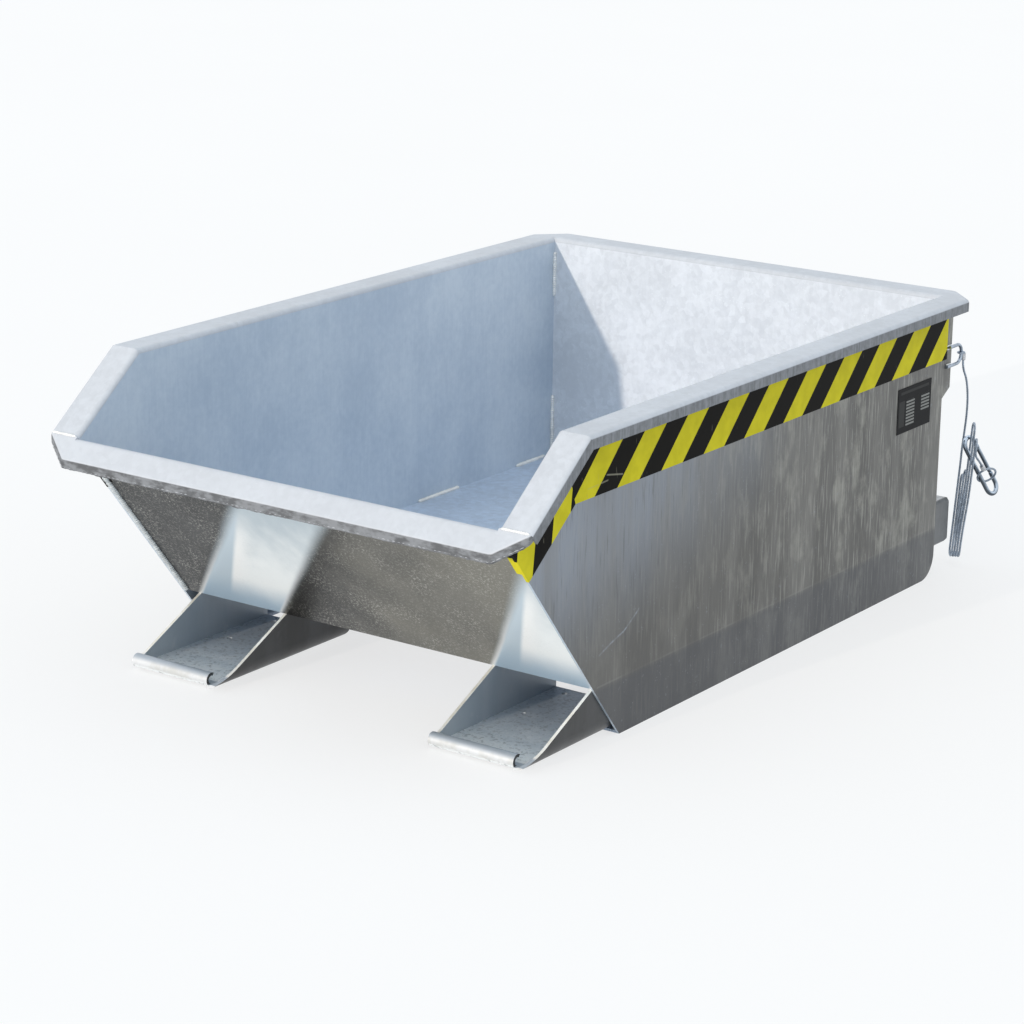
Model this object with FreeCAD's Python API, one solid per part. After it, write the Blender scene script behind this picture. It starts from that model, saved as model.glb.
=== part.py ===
import FreeCAD, Part
import math
import os

# A low galvanised skip for fork trucks, with two fork shoes in front and a securing rope at the rear.
# X is across the skip, Y runs from the front lip to the rear wall and Z is up from the ground.
# While it is modelled, Y = 0 is where the front edge of the side plates meets the ground.

V = FreeCAD.Vector
os.makedirs("parts", exist_ok=True)

# Trough, in millimetres and degrees
body_width = 800.0          # over the outer faces of the side plates
sheet = 4.0                 # plates, walls, floor and rims
floor_height = 88.0         # underside of the floor above the ground
front_lean = 51.0           # front wall, from the ground
wall_setback = 3.0          # side plate's front edge stands this far in front of the front wall
trough_length = 966.0       # from the side plate's foot to the inner face of the rear wall
rim_height = 504.0          # top of the level rim
rim_slope = 38.2            # front stretch of the side rims
rim_bend = 169.0            # the rim turns down this far in front of the side plate's foot
rim_width = 56.0            # from the inner face of the wall to the outer face of the rim
rim_edge = 21.0             # turned-down edge of the side and rear rims
rim_radius = 8.0            # outside of each bend in the rims
rim_corner = 49.0           # rear corners of the rims are cut back this far each way
rim_corner_radius = 16.0    # ends of that cut, in plan
lip_width = 42.0            # front lip, along its fall
lip_droop = 46.0            # fall of the front lip
lip_edge = 14.0             # turned-down edge of the front lip
lip_corner = 50.0           # front lip's corners are cut back this far across the skip
lip_corner_radius = 12.0    # ends of that cut, in plan

# Side plates
plate_tail = 20.0           # behind the rear wall
ear_reach = 27.0            # upper ear, behind the plate's rear edge
ear_drop = 169.0            # ear's lower end, below the top of the rim
ear_chamfer = 16.0          # height of the slant below the ear
foot_radius = 42.0          # rounded rear foot of the side plate
skid_width = 26.0           # strip along the foot of each side plate
skid_sheet = 4.0

# Rear cross tube
tube_height = 80.0
tube_depth = 80.0
tube_clearance = 50.0       # forks pass under it
tube_wall = 4.0
tube_radius = 9.0
cap_sheet = 6.0
cap_bevel = 4.0             # round the outer face of a cap

# Fork shoes
shoe_sheet = 5.0
shoe_gap = 428.0            # between the rolled front edges of the two shoes
shoe_front = 229.0          # in front of the side plate's foot
shoe_rear = 96.0            # behind the side plate's foot
shoe_bend = 28.0            # outside radius of the upturned cheek
cheek_nose = 1.6            # front end of the cheeks' top edge, above the shoe's floor
curl_diameter = 22.0        # rolled front edge
curl_sweep = 215.0
drain_diameter = 9.0
drain_inset = 35.0          # from the straight cheek
drain_places = (-35.0, 75.0)

# Marking
tape_width = 100.0
tape_film = 0.4
tape_inset = 17.0           # below the top of the rim
tape_tail = 34.0            # ends this far behind the inner face of the rear wall
tape_flap = 13.0            # folded round the plate's front edge on to the front wall
tape_flap_lift = 12.0       # the flap starts this far above the tape's lower end
plate_length = 116.0
plate_height = 78.0
plate_sheet = 1.0
plate_tail_gap = 19.0       # from the inner face of the rear wall
plate_gap = 22.0            # below the tape

# Bar eye on the right ear
bar_diameter = 6.0
bar_eye_height = 33.0       # between the middles of its two legs
bar_eye_drop = 130.0        # lower leg, below the top of the rim
bar_eye_reach = 34.0        # behind the ear
bar_leg_low = 21.0          # lower leg, along the ear
bar_leg_high = 13.0         # upper leg, along the ear

# Securing rope
rope_diameter = 4.0
rope_play = 0.5             # between the rope's upper eye and the bar
ferrule_diameter = 8.5
ferrule_length = 13.0
ferrule_offset = 8.5        # upper ferrule, behind the middle of the bar
hank_turns = 4
hank_gap = 0.5              # between neighbouring strands
hank_fold = 12.5            # radius of the folds
hank_low = 28.5             # middle of the lower folds
hank_tops = (150.0, 158.0, 244.5)   # middles of the upper folds, the last one standing tall
hank_start = 165.0          # the lead reaches the hank here
hank_end = 222.0            # the tail leaves over a fold that starts here
tail_turn = 95.0            # that fold, from the row of strands
hank_x = 402.0
hank_y = 1083.0
hank_turned = 35.4          # the row of strands, about the upright
hank_foot = -9.2            # foot of the leaning hank, along the row
hank_lean = 3.8
route_share = 0.45          # of the shorter run, taken up by the bend at a point of a route
lead_drop = 13.5            # first run of the lead, straight down from its ferrule
lead_points = ((-5.0, -13.0, 339.0), (0.5, 0.0, 306.0), (2.6, 13.0, 272.0), (1.5, 21.0, 238.0),
               (-1.5, 20.0, 205.0))
lead_straight = 18.0        # last run of the lead, in line with the first strand
tail_drop = 14.0            # first run of the tail, in line with the last strand
tail_straight = 12.0        # last run of the tail, in line with its ferrule

# Snap hook
hook_bar = 8.0
hook_length = 120.0
hook_width = 38.0
hook_lean = 29.0            # from the upright
hook_turn = 40.0            # about its own length
hook_at = 212.0             # the tall fold's rear strand passes through its upper bow here
hook_side = 2.0             # middle of that bow, from the strand to the gate's side
hook_over = 1.0             # middle of that bow, from the strand up the hook
nose_length = 12.0          # straight end of the upper bow
gate_rivet_at = 60.0        # below the middle of the upper bow
gate_rivet_diameter = 2.6
gate_rivet_play = 0.05
gate_diameter = 7.4
gate_gap = 0.6              # between the gate's ends and the bar
tongue_sheet = 2.6
tongue_width = 6.4
tongue_length = 8.0
slot_play = 0.2             # on each side of a tongue
end_eye_radius = 17.0       # the rope's lower eye, round the hook's spine
end_eye_offset = 11.0       # its middle, from the middle of the spine
end_eye_tilt = 52.0         # its axis, from the length of the hook
end_eye_at = 58.0           # below the middle of the upper bow

# Worked-out places
half = body_width / 2
inner = half - sheet
lean_sin = math.sin(math.radians(front_lean))
lean_run = 1 / math.tan(math.radians(front_lean))
fall = math.tan(math.radians(rim_slope))
ear_foot = rim_height - ear_drop
rear_out = trough_length + sheet
plate_rear = rear_out + plate_tail
ear_rear = plate_rear + ear_reach
rim_out = inner + rim_width
rim_rear = trough_length + rim_width
far = 2 * (trough_length + rim_height + body_width)


def front_edge(z, inset=0.0):
    """Y of the leaning front at height z, moved back square to the wall by inset."""
    return -z * lean_run + inset / lean_sin


def slope_top(y):
    """Height of the sloping rim's upper face at y."""
    return rim_height + (y + rim_bend) * fall


wall_out = wall_setback
wall_in = wall_setback + sheet
seam_y = (front_edge(rim_height + rim_bend * fall, wall_in)) / (1 + fall * lean_run)
seam_z = slope_top(seam_y)
droop_cos = math.cos(math.radians(lip_droop))
droop_sin = math.sin(math.radians(lip_droop))
lip_front = seam_y - lip_width * droop_cos
lip_low = seam_z - lip_width * droop_sin
rear_most = ear_rear + bar_eye_reach
middle_y = (lip_front + rear_most) / 2


def save(name, shape):
    """Move a finished piece so that the skip stands centred on the origin, and write it."""
    piece = shape.copy()
    piece.translate(V(0, -middle_y, 0))
    piece.exportStep(f"parts/{name}.step")
    print(f"{name}: {len(piece.Solids)} solid, {piece.Volume / 1000:.2f} cm3")


def side_prism(points, x0, x1):
    """Solid with an outline of (y, z) points between two places across the skip."""
    corners = [V(x0, y, z) for y, z in points]
    face = Part.Face(Part.makePolygon(corners + corners[:1]))
    return face.extrude(V(x1 - x0, 0, 0))


def half_space(point, normal):
    """A block that fills the side of a plane that its normal points to."""
    block = Part.makeBox(far, far, far, V(-far / 2, -far / 2, 0))
    block.Placement = FreeCAD.Placement(point, FreeCAD.Rotation(V(0, 0, 1), normal))
    return block


def mirror_x(shape):
    return shape.mirror(V(0, 0, 0), V(1, 0, 0))


def rounded_edges(points, radius):
    """Edges of an open run of straight lines with its corners rounded."""
    edges = []
    start = points[0]
    for before, corner, after in zip(points, points[1:], points[2:]):
        back = (before - corner).normalize()
        on = (after - corner).normalize()
        half_angle = back.getAngle(on) / 2
        trim = radius / math.tan(half_angle)
        toward = (back + on).normalize()
        mid = corner + toward * (radius / math.sin(half_angle) - radius)
        first = corner + back * trim
        last = corner + on * trim
        if (first - start).Length > 1e-6:
            edges.append(Part.LineSegment(start, first).toShape())
        edges.append(Part.Arc(first, mid, last).toShape())
        start = last
    if (points[-1] - start).Length > 1e-6:
        edges.append(Part.LineSegment(start, points[-1]).toShape())
    return edges


def bent_sheet(outer, inward, radius, thickness):
    """Face of a sheet bent always the same way: outer holds its convex side's corners,
    and inward turns a line's direction to the side that the sheet lies on."""
    sides = [inward(b - a) for a, b in zip(outer, outer[1:])]
    inside = [outer[0] + sides[0] * thickness]
    for corner, s, t in zip(outer[1:-1], sides, sides[1:]):
        inside.append(corner + (s + t) * (thickness / (1 + s.dot(t))))
    inside.append(outer[-1] + sides[-1] * thickness)
    edges = rounded_edges(outer, radius) + rounded_edges(inside, radius - thickness)
    edges.append(Part.LineSegment(outer[0], inside[0]).toShape())
    edges.append(Part.LineSegment(outer[-1], inside[-1]).toShape())
    return Part.Face(Part.Wire(Part.__sortEdges__(edges)))


def tube_along(edges, radius):
    """Round bar along a run of edges that follow one another smoothly."""
    path = Part.Wire(edges)
    first = edges[0]
    start = first.valueAt(first.FirstParameter)
    heading = first.tangentAt(first.FirstParameter)
    ring = Part.Wire(Part.makeCircle(radius, start, heading))
    return path.makePipeShell([ring], True, False)


# Walls and floor
foot_out = front_edge(floor_height, wall_out)
foot_in = front_edge(floor_height, wall_in)
floor_top = floor_height + sheet
floor = side_prism([(foot_in, floor_height), (trough_length, floor_height), (trough_length, floor_top),
                    (front_edge(floor_top, wall_in), floor_top)], -inner, inner)
save("floor_sheet", floor)

lip_bend = rim_radius * math.tan(math.radians((front_lean + lip_droop) / 2))
up = V(0, -lean_run * lean_sin, lean_sin)
out = V(0, -lean_sin, -lean_run * lean_sin)
wall_top_in = V(0, seam_y, seam_z) - up * lip_bend
wall_top_out = wall_top_in + out * sheet
front_wall = side_prism([(foot_in, floor_height), (foot_out, floor_height), (wall_top_out.y, wall_top_out.z),
                         (wall_top_in.y, wall_top_in.z)], -inner, inner)
save("front_wall", front_wall)

rim_foot = rim_height - rim_radius
rear_wall = side_prism([(trough_length, floor_height), (rear_out, floor_height), (rear_out, rim_foot),
                        (trough_length, rim_foot)], -inner, inner)
save("rear_wall", rear_wall)

# Side plates
slope_cos = math.cos(math.radians(rim_slope))
slope_sin = math.sin(math.radians(rim_slope))
plate_drop = rim_radius / slope_cos
nose_z = (rim_height + rim_bend * fall - plate_drop) / (1 + fall * lean_run)
bend_tan = math.tan(math.radians(rim_slope / 2))
plate_bend_y = -rim_bend + rim_radius * bend_tan
ear_top = rim_height - sheet
ear_nip = rim_radius - sheet
ear_front = rear_out + ear_nip
outline = [(0, 0), (front_edge(nose_z), nose_z), (plate_bend_y, rim_foot), (ear_front, rim_foot),
           (ear_front, ear_top), (ear_rear - ear_nip, ear_top), (ear_rear, ear_top - ear_nip),
           (ear_rear, ear_foot), (plate_rear, ear_foot - ear_chamfer), (plate_rear, 0)]
side_plate = side_prism(outline, inner, half)
rear_foot = [e for e in side_plate.Edges if e.Vertexes[0].Y == e.Vertexes[-1].Y
             and abs(e.Vertexes[0].Y - plate_rear) < 1e-6 and abs(e.Vertexes[0].Z) < 1e-6
             and abs(e.Vertexes[-1].Z) < 1e-6]
side_plate = side_plate.makeFillet(foot_radius, rear_foot)

skid = Part.makeBox(skid_width, plate_rear - foot_radius, skid_sheet, V(inner - skid_width, 0, 0))
save("skid_strip_right", skid)
save("skid_strip_left", mirror_x(skid))

# Rims of the side and rear walls
rim_outline = [V(inner, 0, rim_foot), V(inner, 0, rim_height), V(rim_out, 0, rim_height),
               V(rim_out, 0, rim_height - rim_edge)]
rim_face = bent_sheet(rim_outline, lambda d: V(d.z, 0, -d.x).normalize(), rim_radius, sheet)
corner_plane = V(inner, trough_length, 0)
corner_cut = half_space(corner_plane, V(-1, 1, 0))
rear_corner_cut = half_space(corner_plane, V(1, -1, 0))
bend_point = V(0, -rim_bend, rim_height)
level_way = V(0, 1, 0)
slope_way = V(0, -slope_cos, -slope_sin)
bend_normal = (level_way - slope_way).normalize()

# A rear corner is cut back, and the turned-down edge runs along the cut; half of it belongs to each rim
corner_turn = 45.0
corner_share = math.tan(math.radians(corner_turn / 2))
corner_trim = rim_corner_radius * corner_share
corner_start = rim_rear - rim_corner - corner_trim
corner_start_x = rim_out - rim_corner - corner_trim
corner_axis = V(rim_out - rim_corner_radius, corner_start, 0)
edge_outline = [V(rim_out - rim_radius, corner_start, rim_height), V(rim_out, corner_start, rim_height),
                V(rim_out, corner_start, rim_height - rim_edge)]
edge_face = bent_sheet(edge_outline, lambda d: V(d.z, 0, -d.x).normalize(), rim_radius, sheet)
edge_turned = edge_face.copy()
edge_turned.rotate(corner_axis, V(0, 0, 1), corner_turn)
corner_edge = edge_turned.extrude(V(-1, 1, 0).normalize() * (rim_corner / math.sqrt(2) - corner_trim))
corner_edge = corner_edge.fuse(edge_face.revolve(corner_axis, V(0, 0, 1), corner_turn))

flat_side = rim_out - rim_radius
flat_rear = rim_rear - rim_radius
flat_cut = rim_corner + rim_radius * corner_share
flat_points = [V(flat_side, corner_start, 0), V(flat_side, rim_rear - flat_cut, 0),
               V(rim_out - flat_cut, flat_rear, 0), V(corner_start_x, flat_rear, 0)]
flat_edges = rounded_edges(flat_points, rim_corner_radius - rim_radius)
flat_back = Part.makePolygon([flat_points[-1], V(0, flat_rear, 0), V(0, corner_start, 0), flat_points[0]])
flat_plan = Part.Face(Part.Wire(flat_edges + flat_back.Edges)).extrude(V(0, 0, 2 * rim_height))

level_rim = rim_face.copy()
level_rim.translate(V(0, -rim_bend - rim_width, 0))
level_rim = level_rim.extrude(level_way * (rim_rear + rim_bend + rim_width))
level_rim = level_rim.cut(half_space(bend_point, -bend_normal)).cut(corner_cut)
rim_end = level_rim.common(flat_plan).fuse(corner_edge)
level_rim = level_rim.cut(half_space(V(0, corner_start, 0), level_way)).fuse(rim_end).removeSplitter()
save("side_rim_right_level", level_rim)
save("side_rim_left_level", mirror_x(level_rim))

seam = V(0, seam_y, seam_z)
slope_rim = rim_face.copy()
slope_rim.translate(V(0, 0, -rim_height))
slope_rim.rotate(V(0, 0, 0), V(1, 0, 0), rim_slope)
slope_rim.translate(bend_point - slope_way * rim_width)
slope_rim = slope_rim.extrude(slope_way * ((seam - bend_point).Length + rim_width))
slope_rim = slope_rim.cut(half_space(bend_point, bend_normal))
save("side_rim_right_slope", slope_rim)
save("side_rim_left_slope", mirror_x(slope_rim))

rear_outline = [V(0, trough_length, rim_foot), V(0, trough_length, rim_height), V(0, rim_rear, rim_height),
                V(0, rim_rear, rim_height - rim_edge)]
rear_face = bent_sheet(rear_outline, lambda d: V(0, d.z, -d.y).normalize(), rim_radius, sheet)
rear_face.translate(V(-corner_start_x, 0, 0))
rear_rim = rear_face.extrude(V(2 * corner_start_x, 0, 0)).cut(rear_corner_cut).cut(mirror_x(rear_corner_cut))
rear_end = rim_end.mirror(corner_plane, V(-1, 1, 0).normalize())
save("rear_rim", rear_rim.fuse([rear_end, mirror_x(rear_end)]).removeSplitter())

# Front lip: bent over from the front wall, its ends reaching across the sloping rims
lip_outline = [wall_top_in, seam, V(0, lip_front, lip_low), V(0, lip_front, lip_low - lip_edge)]
lip_face = bent_sheet(lip_outline, lambda d: V(0, -d.z, d.y).normalize(), rim_radius, sheet)
lip_mid = lip_face.copy()
lip_mid.translate(V(-inner, 0, 0))
lip_up = V(0, -droop_sin, droop_cos)
cut_out = V(seam_y - lip_front, -lip_corner, 0).normalize()


def wing_form(inset):
    """Block under the lip's end, with the corner cut and its edges rounded, smaller by inset all round."""
    side = rim_out - inset
    front = lip_front + inset
    back = seam_y + rim_width
    cut_at = cut_out.dot(V(rim_out, seam_y, 0)) - inset
    cut_side = V(side, (cut_at - cut_out.x * side) / cut_out.y, 0)
    cut_front = V((cut_at - cut_out.y * front) / cut_out.x, front, 0)
    plan = [V(inner, back, 0), V(side, back, 0), cut_side, cut_front, V(inner, front, 0)]
    block = Part.Face(Part.makePolygon(plan + plan[:1])).extrude(V(0, 0, 2 * rim_height))
    top = seam - lip_up * inset
    block = block.cut(half_space(top, lip_up))
    standing = [e for e in block.Edges for corner in (cut_side, cut_front)
                if all(math.hypot(v.X - corner.x, v.Y - corner.y) < 1e-6 for v in e.Vertexes)]
    block = block.makeFillet(lip_corner_radius - inset, standing)
    rim = [e for e in block.Edges if all(abs(lip_up.dot(v.Point - top)) < 1e-6 for v in e.Vertexes)
           and e.CenterOfMass.x > inner + 1e-6 and e.CenterOfMass.y < back - 1e-6]
    return block.makeFillet(rim_radius - inset, rim)


lip_wing = wing_form(0).cut(wing_form(sheet)).cut(half_space(seam, -slope_way))
lip = lip_mid.extrude(V(2 * inner, 0, 0)).fuse([lip_wing, mirror_x(lip_wing)])
lip = lip.cut(half_space(seam - V(0, 0, lip_edge), -lip_up)).removeSplitter()
save("front_lip", lip)
side_plate = side_plate.cut(lip)
save("side_plate_right", side_plate)
save("side_plate_left", mirror_x(side_plate))

# Rear cross tube with its end caps
tube_low = tube_clearance
tube_outline = [(rear_out, tube_low), (rear_out + tube_depth, tube_low),
                (rear_out + tube_depth, tube_low + tube_height), (rear_out, tube_low + tube_height)]
tube_length = 2 * (inner - cap_sheet)
tube = side_prism(tube_outline, -tube_length / 2, tube_length / 2)
tube = tube.makeFillet(tube_radius, [e for e in tube.Edges if abs(e.Length - tube_length) < 1e-6])
core = Part.makeBox(tube_length, tube_depth - 2 * tube_wall, tube_height - 2 * tube_wall,
                    V(-tube_length / 2, rear_out + tube_wall, tube_low + tube_wall))
save("rear_tube", tube.cut(core))
cap = side_prism(tube_outline, inner - cap_sheet, inner)
cap = cap.makeFillet(tube_radius, [e for e in cap.Edges if abs(e.Length - cap_sheet) < 1e-6])
cap = cap.makeChamfer(cap_bevel, [e for e in cap.Edges if all(abs(v.X - inner) < 1e-6 for v in e.Vertexes)])
save("tube_cap_right", cap)
save("tube_cap_left", mirror_x(cap))

# Fork shoes: a floor with one cheek bent up and its front edge rolled, and one straight cheek
shoe_low = skid_sheet
shoe_top = floor_height
shoe_width = inner - shoe_gap / 2
curl_length = shoe_width - shoe_bend
curl_r = curl_diameter / 2
curl_y = -shoe_front + curl_r
cheek_plane = V(0, foot_out, shoe_top)
cheek_fall = shoe_top - (shoe_low + shoe_sheet + cheek_nose)
cheek_cut = half_space(cheek_plane, V(0, -cheek_fall, foot_out + shoe_front))


def curl_face(x):
    """Section of the rolled edge: the floor's sheet carried round its front, up and back."""
    def rim_point(radius, degrees):
        turn = math.radians(degrees)
        return V(x, curl_y + radius * math.cos(turn), shoe_low + curl_r + radius * math.sin(turn))
    underside = 270
    stops = (underside, underside - curl_sweep / 2, underside - curl_sweep)
    outside = [rim_point(curl_r, a) for a in stops]
    inside = [rim_point(curl_r - shoe_sheet, a) for a in stops]
    edges = [Part.Arc(*outside).toShape(), Part.LineSegment(outside[2], inside[2]).toShape(),
             Part.Arc(*inside[::-1]).toShape(), Part.LineSegment(inside[0], outside[0]).toShape()]
    return Part.Face(Part.Wire(edges))


def shoe_pan(x):
    """Shoe floor with the rolled front edge and the cheek bent up at its right, from its left edge x."""
    right = x + shoe_width
    section = [V(x, 0, shoe_low), V(right, 0, shoe_low), V(right, 0, shoe_top)]
    face = bent_sheet(section, lambda d: V(-d.z, 0, d.x).normalize(), shoe_bend, shoe_sheet)
    face.translate(V(0, -shoe_front, 0))
    pan = face.extrude(V(0, shoe_front + shoe_rear, 0)).cut(cheek_cut)
    nose = Part.makeBox(curl_length, curl_r, shoe_top, V(x, -shoe_front, shoe_low))
    pan = pan.cut(nose)
    pan = pan.fuse(curl_face(x).extrude(V(curl_length, 0, 0))).removeSplitter()
    for y in drain_places:
        hole_foot = V(x + drain_inset, y, shoe_low - shoe_sheet / 2)
        pan = pan.cut(Part.makeCylinder(drain_diameter / 2, 2 * shoe_sheet, hole_foot))
    return pan


for side, x in (("right", shoe_gap / 2), ("left", -shoe_gap / 2 - curl_length)):
    save(f"shoe_pan_{side}", shoe_pan(x))
    cheek = side_prism([(curl_y + curl_r, shoe_low + shoe_sheet), (shoe_rear, shoe_low + shoe_sheet),
                        (shoe_rear, shoe_top), (curl_y + curl_r, shoe_top)], x, x + shoe_sheet)
    save(f"shoe_cheek_{side}", cheek.cut(cheek_cut))


# Marking tape along each side plate, under the rim and down its slope
def tape_at(depth):
    """Places of a line that runs this far below the rim's top: rear end, bend and front end."""
    nose = (rim_height + rim_bend * fall - depth / slope_cos) / (1 + fall * lean_run)
    return [(trough_length + tape_tail, rim_height - depth), (-rim_bend + depth * bend_tan, rim_height - depth),
            (front_edge(nose), nose)]


tape_high = tape_at(tape_inset)
tape_low = tape_at(tape_inset + tape_width)
tape_end = V(0, *tape_low[-1])
tape_end_height = (V(0, *tape_high[-1]) - tape_end).Length


def tape_strip(x0, x1, lift, near, away):
    """Film along the plate's front edge, from a height up, between two depths in front of that edge."""
    corners = [V(x0, 0, 0) + tape_end + up * rise + out * depth
               for rise, depth in ((lift, near), (tape_end_height, near), (tape_end_height, away), (lift, away))]
    return Part.Face(Part.makePolygon(corners + corners[:1])).extrude(V(x1 - x0, 0, 0))


tape = side_prism(tape_high + tape_low[::-1], half, half + tape_film)
tape = tape.fuse([tape_strip(inner - tape_film, half + tape_film, 0, 0, tape_film),
                  tape_strip(inner - tape_film, inner, tape_flap_lift, -wall_setback, 0),
                  tape_strip(inner - tape_flap, inner, tape_flap_lift, -wall_setback, tape_film - wall_setback)])
tape = tape.removeSplitter()
save("hazard_tape_right", tape)
save("hazard_tape_left", mirror_x(tape))

# Bare rating plate
plate_top = rim_height - tape_inset - tape_width - plate_gap
plate_corner = V(half, trough_length - plate_tail_gap - plate_length, plate_top - plate_height)
save("rating_plate", Part.makeBox(plate_sheet, plate_length, plate_height, plate_corner))

# Bar eye welded to the outside of the right ear
bar_r = bar_diameter / 2
eye_r = bar_eye_height / 2
eye_x = half + bar_r
eye_y = rear_most - bar_r - eye_r
bar_eye_foot = rim_height - bar_eye_drop
eye_z = bar_eye_foot + eye_r
leg_low = V(eye_x, ear_rear - bar_leg_low, bar_eye_foot)
turn_low = V(eye_x, eye_y, bar_eye_foot)
turn_high = V(eye_x, eye_y, bar_eye_foot + bar_eye_height)
leg_high = V(eye_x, ear_rear - bar_leg_high, bar_eye_foot + bar_eye_height)
bar_edges = [Part.LineSegment(leg_low, turn_low).toShape(),
             Part.Arc(turn_low, V(eye_x, eye_y + eye_r, eye_z), turn_high).toShape(),
             Part.LineSegment(turn_high, leg_high).toShape()]
save("rope_bar_eye", tube_along(bar_edges, bar_r))

# Rope's upper eye round the bar, with its ferrule
rope_r = rope_diameter / 2
ferrule_r = ferrule_diameter / 2
top_eye = V(eye_x, eye_y + eye_r, eye_z)
save("rope_top_eye", Part.makeTorus(bar_r + rope_play + rope_r, rope_r, top_eye))
lead_start = top_eye + V(0, ferrule_offset, -rope_r - ferrule_length)
save("rope_top_ferrule", Part.makeCylinder(ferrule_r, ferrule_length, lead_start))

# Axes of the hank, whose strands stand in a row that leans a little
upright = V(0, 0, 1)
turned = math.radians(hank_turned)
across = V(math.cos(turned), math.sin(turned), 0)
deep = V(-math.sin(turned), math.cos(turned), 0)
leaning = math.radians(hank_lean)
hank_rise = across * math.sin(leaning) + upright * math.cos(leaning)
hank_row = across * math.cos(leaning) - upright * math.sin(leaning)
hank_pitch = rope_diameter + hank_gap


def facing(u, v, z):
    """A place near the hank, in upright axes: along its row, through its depth and up."""
    return V(hank_x, hank_y, 0) + across * u + deep * v + upright * z


def in_hank(strand, v, s):
    """A place in the leaning hank: number of the strand, depth and distance up the strand."""
    along = (strand - (hank_turns - 1) / 2) * hank_pitch
    return facing(hank_foot, v, 0) + hank_row * along + hank_rise * s


def route_edges(points):
    """Straight runs joined by tangent arcs that are as large as the shorter run allows."""
    edges = []
    radii = []
    start = points[0]
    for before, corner, after in zip(points, points[1:], points[2:]):
        back = before - corner
        on = after - corner
        trim = route_share * min(back.Length, on.Length)
        half_turn = (math.pi - back.getAngle(on)) / 2
        radius = trim / math.tan(half_turn)
        back.normalize()
        on.normalize()
        first = corner + back * trim
        last = corner + on * trim
        mid = corner + (back + on).normalize() * (radius / math.cos(half_turn) - radius)
        edges.append(Part.LineSegment(start, first).toShape())
        edges.append(Part.Arc(first, mid, last).toShape())
        start = last
        radii.append(round(radius, 1))
    edges.append(Part.LineSegment(start, points[-1]).toShape())
    print("route radii", radii)
    return edges


def hank_edges():
    """Down the rear, round the lower fold, up the front a strand further on, and over the upper fold."""
    edges = []
    here = in_hank(0, hank_fold, hank_start)

    def line_to(point):
        nonlocal here
        edges.append(Part.LineSegment(here, point).toShape())
        here = point

    def arc_to(mid, point):
        nonlocal here
        edges.append(Part.Arc(here, mid, point).toShape())
        here = point

    step_top = min(hank_tops)
    quarter = (step_top - hank_low) / 4
    step_bow = 1 / 8
    for strand in range(hank_turns):
        line_to(in_hank(strand, hank_fold, hank_low))
        arc_to(in_hank(strand, 0, hank_low - hank_fold), in_hank(strand, -hank_fold, hank_low))
        arc_to(in_hank(strand + step_bow, -hank_fold, hank_low + quarter),
               in_hank(strand + 1 / 2, -hank_fold, hank_low + 2 * quarter))
        arc_to(in_hank(strand + 1 - step_bow, -hank_fold, step_top - quarter),
               in_hank(strand + 1, -hank_fold, step_top))
        if strand < len(hank_tops):
            top = hank_tops[strand]
            if top > step_top:
                line_to(in_hank(strand + 1, -hank_fold, top))
            arc_to(in_hank(strand + 1, 0, top + hank_fold), in_hank(strand + 1, hank_fold, top))
    line_to(in_hank(hank_turns, -hank_fold, hank_end))
    over = hank_row * math.cos(math.radians(tail_turn)) - deep * math.sin(math.radians(tail_turn))
    arc_to(here + over * hank_fold + hank_rise * hank_fold, here + over * (2 * hank_fold))
    return edges


def least_gap(edges, step, apart):
    """Least clear distance between two stretches of the rope that are some way apart along it."""
    points = Part.Wire(edges).discretize(Distance=step)
    skip = int(apart / step)
    least = min((p - q).Length for i, p in enumerate(points) for q in points[i + skip:])
    return least - rope_diameter


hank_path = hank_edges()
hank = tube_along(hank_path, rope_r)
save("rope_hank", hank)
hank_length = sum(e.Length for e in hank_path)
print("hank length", round(hank_length, 1), "by volume", round(hank.Volume / (math.pi * rope_r ** 2), 1))
print("hank least gap", round(least_gap(hank_path, hank_pitch / 2, 2 * hank_fold), 2))

lead_end = in_hank(0, hank_fold, hank_start)
lead_route = [lead_start, lead_start - upright * lead_drop] + [facing(*p) for p in lead_points]
lead_route += [lead_end + hank_rise * lead_straight, lead_end]
lead_path = route_edges(lead_route)
save("rope_lead", tube_along(lead_path, rope_r))

# Snap hook, in axes of its own: out to the gate's side, up its length and out of its face
hook_tilt = math.radians(hook_lean)
hook_spin = math.radians(hook_turn)
hook_down = across * math.sin(hook_tilt) - upright * math.cos(hook_tilt)
hook_right = across * math.cos(hook_tilt) + upright * math.sin(hook_tilt)
hook_wide = deep * math.cos(hook_spin) + hook_right * math.sin(hook_spin)
hook_face = hook_down.cross(hook_wide)
tall_strand = len(hank_tops)
hook_middle = in_hank(tall_strand, hank_fold, hook_at) + hook_wide * hook_side - hook_down * hook_over
hook_frame = FreeCAD.Placement(hook_middle, FreeCAD.Rotation(hook_wide, -hook_down, hook_face, "XYZ"))
bar_half = hook_bar / 2
bow_r = hook_width / 2 - bar_half
bow_gap = hook_length - hook_width
gate_r = gate_diameter / 2
rivet_r = gate_rivet_diameter / 2
rivet_place = V(bow_r, -gate_rivet_at, 0)
nose_end = -nose_length
heel_end = -gate_rivet_at - gate_r - gate_gap
tongue_half = tongue_width / 2


def tongue(y0, y1):
    """Flat tongue on the gate's side of the hook."""
    return Part.makeBox(tongue_width, y1 - y0, tongue_sheet, V(bow_r - tongue_half, y0, -tongue_sheet / 2))


def slot(y0, y1):
    """Room for a tongue in the gate."""
    width = tongue_sheet + 2 * slot_play
    return Part.makeBox(2 * gate_diameter, y1 - y0, width, V(bow_r - gate_diameter, y0, -width / 2))


def rivet_bore(radius):
    return Part.makeCylinder(radius, hook_bar, rivet_place - V(0, 0, bar_half))


def save_on_hook(name, shape):
    shape.Placement = hook_frame
    save(name, shape)


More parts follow.
